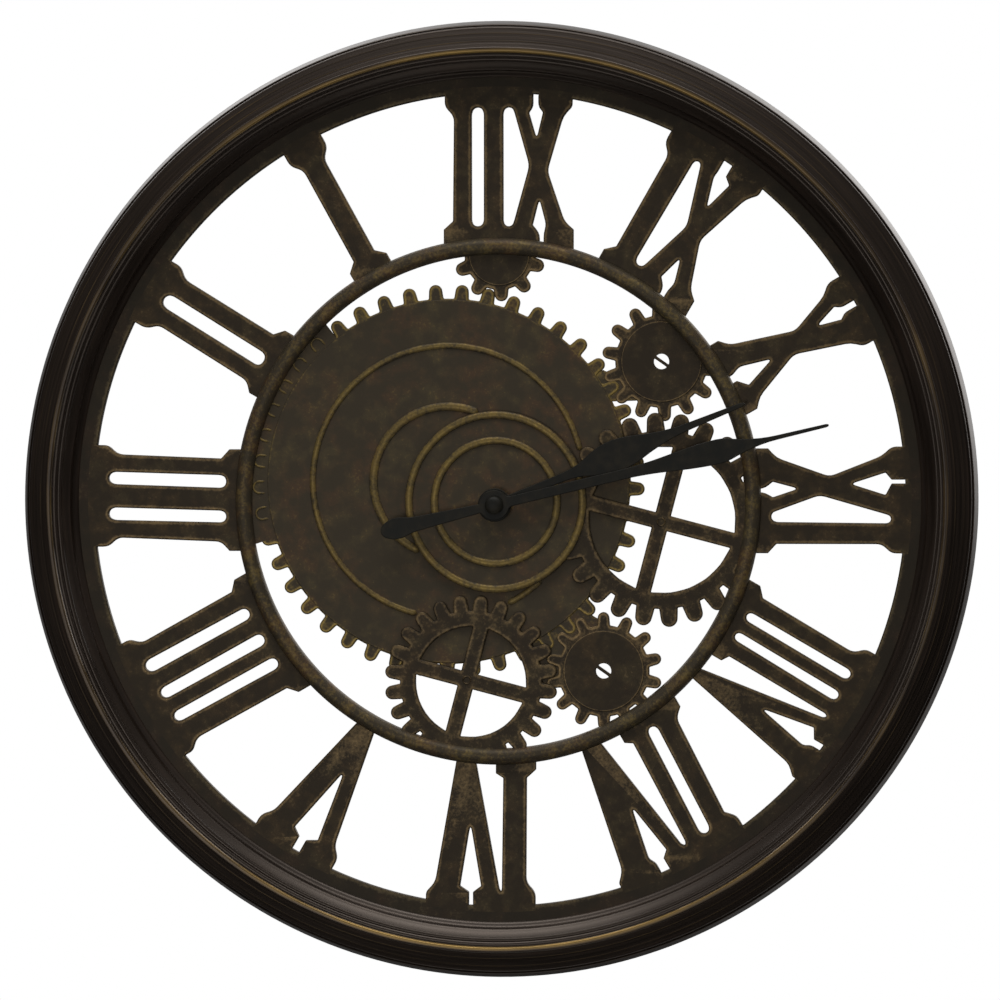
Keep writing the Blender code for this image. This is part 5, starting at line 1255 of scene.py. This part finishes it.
# %% Hands
for node, body in (("minute_hand", "minute_train"), ("hour_hand", "hour_train")):
    bottom, top = level_of(node)
    loops = [round_corners(loop, 0.5, 0.8, shallow=60.0, longest=4.0) for loop in solid_outline(node, top)]
    new_piece(node + "_sheet", [plate_shell(loops, bottom, top, rounding=0.4, band=1.0)],
              hand_paint, body=body, stands_for=[node])

# %% [markdown]
# The cap is turned: a short straight rim with a dome on it.

# %% Cap
cap_back, cap_front = level_of("hand_cap")
CAP_RADIUS = half_size("hand_cap")[0]
CAP_RIM = cap_back + 1.0
dome = np.radians(np.linspace(0.0, 90.0, 10))
cap_profile = np.concatenate([
    np.stack([CAP_RADIUS * np.cos(dome) ** 0.9, CAP_RIM + (cap_front - CAP_RIM) * np.sin(dome)], axis=-1),
    [(0.0, cap_back), (CAP_RADIUS, cap_back)],
])
new_piece("hand_cap_turned", [turned_shell(cap_profile, 48, centre=shaft)], hand_paint,
          body="minute_train", stands_for=["hand_cap"])

# %% [markdown]
# ## Small metal: brass, zinc-plated steel, copper
# Brass washer and nut, steel screws and hanger. Both metals get a fine brushed or plated grain in
# their roughness; a bright metal without it would look like a mirror.

# %% Bright metals


def bright_metal(name, colour, shade, roughness, grain_mm):
    """Bare metal: its colour varies a little in patches and its gloss along a fine grain."""
    made, tree, shader, place = new_material(name, metallic=1.0, roughness=roughness)
    patches = noise(tree, place, grain_mm * 6, 3.0)
    grain = noise(tree, place, grain_mm, 3.0, 0.6)
    feed(tree, shader, base_color=ramp(tree, patches, (0.35, colour), (0.7, shade)),
         roughness=between(tree, grain, 0.0, 1.0, roughness - 0.08, roughness + 0.12))
    bump_of(tree, shader, grain, 0.02, 0.5)
    return made


# Zinc plating gives a cool grey with a soft gloss, turned brass a warm one, wire a deep copper red
zinc = bright_metal("steel_zinc_plated", "#b9bab6", "#9d9f9b", 0.34, 0.5)
brass = bright_metal("brass_turned", "#c9a65a", "#b08d44", 0.3, 0.4)
copper = bright_metal("copper_wire_enamelled", "#b5693a", "#8f4d28", 0.32, 0.2)


# %% [markdown]
# Some solids keep their own shape and only get a finish. Nut and washer are made anew, with a fine
# broken edge.

# %% Nut and washer


def dress(node, finish):
    """A CAD node keeps its shape and gets a finish."""
    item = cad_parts[node]
    item.data.materials.clear()
    item.data.materials.append(finish)


for node, edge in (("hex_nut", 0.5), ("dial_washer", 0.12)):
    bottom, top = level_of(node)
    loops = solid_outline(node, top)
    loops = [loops[0] if node == "hex_nut" else round_corners(loops[0], 0.5, 0.5)] + [
        round_corners(loop, 0.5, 0.5) for loop in loops[1:]]
    new_piece(node + "_turned", [plate_shell(loops, bottom, top, rounding=edge, band=0.4, edge_wear=0.0)],
              brass, stands_for=[node])

# %% [markdown]
# ## Screws and hanger
# Six pan-head screws hold the dial from behind and two hold the hanger. A screw's head is a disc of
# circles in a table of angle and radius, whose depth follows a low dome, and a cross sinks into it
# near the middle.

# %% Screws and hanger plate
SHANK_RADIUS = 1.4
HEAD_THICK = 1.8
DOME_DROP = 0.55
CROSS_HALF, CROSS_REACH, CROSS_DEPTH = 0.42, 0.72, 1.0
POINT_LONG = 1.2
SCREW_STEPS = 48


def screw_shell(node):
    """Head towards the wall: depth = back + dome drop(r) + cross; shank runs forwards to a point."""
    back, tip = level_of(node)
    head = half_size(node)[0]
    turn = full_turn(SCREW_STEPS)[None]
    share = np.linspace(0.0, 1.0, 15)[:, None]
    near = np.minimum(np.abs(np.cos(turn)), np.abs(np.sin(turn))) * head * share
    cross = np.clip(1.0 - near / CROSS_HALF, 0.0, 1.0) ** 0.5
    fade = np.clip((CROSS_REACH - share) / 0.2, 0.0, 1.0)
    top = back + DOME_DROP * share ** 4 + CROSS_DEPTH * cross * fade
    tail = np.array([(head, back + HEAD_THICK), (SHANK_RADIUS, back + HEAD_THICK),
                     (SHANK_RADIUS, tip - POINT_LONG), (0.0, tip)])
    radii = np.concatenate([head * share, tail[:, :1]])
    depths = np.concatenate([top, tail[:, 1:] + 0.0 * turn])
    points = circles(middle_of(node), radii, turn, depths)
    return points, grid_faces(len(radii), SCREW_STEPS, False, True), 0.0


for node in ["dial_screw_%d" % k for k in range(1, 7)] + ["hanger_screw_left", "hanger_screw_right"]:
    new_piece(node + "_pan_head", [screw_shell(node)], zinc, stands_for=[node])
hanger_loops = [round_corners(loop, 1.2, 0.6) for loop in solid_outline("hanger_plate", plate_back)]
new_piece("hanger_plate_pressed", [plate_shell(hanger_loops, plate_back, plate_front, rounding=0.25,
                                               band=0.8, edge_wear=0.0)],
          zinc, stands_for=["hanger_plate"])

# %% [markdown]
# ## The movement
# A quartz movement in a black case of moulded ABS, with a bay for one AA cell and a setting knob at
# the back. The case keeps the shape of its solid, with its sharp corners broken by a small bevel as
# every mould does. What is inside it shows only through the bay.

# %% Plastics, rubber and board


def moulded(name, colour, shade, roughness, grain_mm, depth_mm):
    """Moulded or pressed plastic: nearly one colour, with a spark-eroded grain in its bump."""
    made, tree, shader, place = new_material(name, roughness=roughness, specular=0.4)
    grain = noise(tree, place, grain_mm, 2.0)
    cloud = noise(tree, place, grain_mm * 14, 2.0)
    feed(tree, shader, base_color=ramp(tree, cloud, (0.3, colour), (0.75, shade)),
         roughness=between(tree, grain, 0.0, 1.0, roughness - 0.06, roughness + 0.08))
    bump_of(tree, shader, grain, depth_mm, 0.5)
    return made


# Spark-grained ABS looks a soft black, acetal milky, rubber dead matt and the board a waxy green
black_abs = moulded("abs_black_fine_grain", "#1b1b1c", "#222223", 0.5, 0.5, 0.03)
white_pom = moulded("acetal_white_moulded", "#e6e4dc", "#d9d6cc", 0.42, 0.8, 0.01)
black_rubber = moulded("rubber_black_matt", "#191919", "#202020", 0.8, 0.4, 0.03)
green_board = moulded("circuit_board_green", "#1d5a34", "#256b3f", 0.4, 0.6, 0.01)


# %% [markdown]
# The case and its cover are copies of their solids, merged, with their sharp edges bevelled.

# %% Case and cover


def softened(node, width, finish):
    """A merged copy of the solid with its sharp edges bevelled, standing for it."""
    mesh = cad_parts[node].data.copy()
    work = bmesh.new()
    work.from_mesh(mesh)
    bmesh.ops.remove_doubles(work, verts=work.verts, dist=0.002 * MM)
    bmesh.ops.dissolve_limit(work, angle_limit=math.radians(1.0), verts=work.verts, edges=work.edges)
    work.to_mesh(mesh)
    work.free()
    mesh.materials.clear()
    mesh.materials.append(finish)
    piece = put(node + "_moulded", mesh)
    bevel = piece.modifiers.new("edge", "BEVEL")
    bevel.width = width * MM
    bevel.segments = 2
    bevel.limit_method = "ANGLE"
    bevel.angle_limit = math.radians(50.0)
    mesh.shade_smooth()
    mesh.set_sharp_from_angle(angle=math.radians(32.0))
    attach(piece, "clock")
    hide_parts(node)
    print(piece.name, len(mesh.polygons), "faces before the bevel")


softened("movement_case", 0.35, black_abs)
softened("movement_cover", 0.25, black_abs)

# %% [markdown]
# The setting knob is knurled: its radius rises and falls by a third of a millimetre round the rim.

# %% Setting knob
knob_back = level_of("setting_knob")[0]
knob_at = np.array(middle_of("setting_knob"))
KNOB_RADIUS = half_size("setting_knob")[0]
KNOB_THICK = 2.5
KNOB_RIBS = 36
print("setting knob: radius", round(KNOB_RADIUS, 2), "mm, back at", round(knob_back, 2), "mm")


def knurled_shell(centre, radius, back, front, ribs, depth, stem):
    """radius(a) = radius - depth (1 - cos(ribs a)) / 2 on the rim rows; a stem runs forwards."""
    turn = full_turn(ribs * 6)[None]
    groove = depth * (1 - np.cos(ribs * turn)) / 2
    rows = np.array([
        (0.0, back, 0.0), (radius - 1.6, back, 0.0), (radius - 0.5, back, 1.0),
        (radius, back + 0.4, 1.0), (radius, back + 1.8, 1.0), (radius - 0.4, back + 2.2, 1.0),
        (stem, back + 2.2, 0.0), (stem, front, 0.0), (0.0, front, 0.0),
    ])
    radii = np.maximum(rows[:, :1] - rows[:, 2:] * groove, 0.0)
    points = circles(centre, radii, turn, rows[:, 1:2])
    return points, grid_faces(len(rows), turn.size, False, True), 0.0


knurled = knurled_shell(knob_at, KNOB_RADIUS, knob_back, knob_back + KNOB_THICK, KNOB_RIBS, 0.35, 1.2)
new_piece("setting_knob_knurled", [knurled], black_abs, body="knob")
dress("setting_knob", black_abs)

# %% [markdown]
# The AA cell is a steel can with a plain sleeve over it. Can and sleeve are two turned shapes about
# the cell's axis, which lies across the movement: the can ends in the plus button and a flat foot,
# the sleeve is a thin tube, copper brown at the plus end and black along the rest.

# %% Battery
CELL_HALF, CELL_RADIUS = half_size("battery")
cell_at, cell_up = middle_of("battery")
cell_depth = sum(level_of("battery")) / 2
plus_at, minus_at = middle_of("battery_contact_plus")[0], middle_of("battery_contact_minus")[0]
plus_side = math.copysign(1.0, plus_at - minus_at)
BAND_LONG = 13.0
SLEEVE_THICK = 0.12


def cell_shell(profile, closed, steps=64):
    """A profile (place along the cell towards plus, radius) carried round the cell's axis."""
    turn = full_turn(steps)[:, None]
    place, radius = np.asarray(profile, float).T[:, None]
    right = cell_at + plus_side * place + 0.0 * turn
    points = to_world(right, cell_up + radius * np.sin(turn), cell_depth + radius * np.cos(turn))
    return points, grid_faces(steps, len(profile), True, closed), 0.0


# %% [markdown]
# The sleeve's two colours meet in a sharp line across the cell, and a faint unevenness of the film
# keeps them from looking flat.

# %% Can and sleeve
can = CELL_RADIUS - SLEEVE_THICK
can_profile = [(-CELL_HALF, 0.0), (-CELL_HALF, 4.6), (-CELL_HALF + 0.4, 5.0), (-CELL_HALF + 0.5, can - 0.6),
               (-CELL_HALF + 1.0, can), (CELL_HALF - 2.2, can), (CELL_HALF - 1.5, can - 0.8),
               (CELL_HALF - 1.4, 2.9), (CELL_HALF - 0.4, 2.75), (CELL_HALF, 2.3), (CELL_HALF, 0.0)]
tube = [(-CELL_HALF + 1.0, CELL_RADIUS), (CELL_HALF - 2.2, CELL_RADIUS),
        (CELL_HALF - 2.0, CELL_RADIUS - 0.5), (-CELL_HALF + 0.8, CELL_RADIUS - 0.5)]
sleeve, tree, shader, place = new_material("battery_sleeve_shrunk_film", roughness=0.35)
across = add(tree, "ShaderNodeSeparateXYZ", {0: place}).outputs["X"]
edge = (cell_at + plus_side * (CELL_HALF - BAND_LONG)) * MM
blur = plus_side * 0.1 * MM
band = between(tree, across, edge - blur, edge + blur, 0.0, 1.0)
film = noise(tree, place, 4.0, 3.0)
black = blend(tree, film, srgb("#151517"), srgb("#202022"))
brown = blend(tree, film, srgb("#a5652f"), srgb("#b9763b"))
feed(tree, shader, base_color=blend(tree, band, black, brown),
     metallic=between(tree, band, 0.0, 1.0, 0.0, 0.7))
new_piece("battery_can", [cell_shell(can_profile, False)], zinc, body="battery",
          stands_for=["battery"])
new_piece("battery_sleeve", [cell_shell(tube, True)], sleeve, body="battery")

# %% [markdown]
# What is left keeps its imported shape, because it is small and hidden in the case or behind it:
# wheels, arbor, motor, board and contacts only get the finish of their real material.

# %% Dress the inner works
for node, finish in {
    "rubber_gasket": black_rubber, "battery_contact_minus": zinc, "battery_contact_plus": zinc,
    "circuit_board": green_board, "quartz_crystal": zinc, "stator": zinc, "coil": copper,
    "minute_arbor": zinc, "hour_wheel": brass, "transfer_wheel": white_pom, "rotor": zinc,
    "intermediate_wheel": white_pom, "second_wheel": white_pom, "third_wheel": white_pom,
    "centre_wheel": brass,
}.items():
    dress(node, finish)
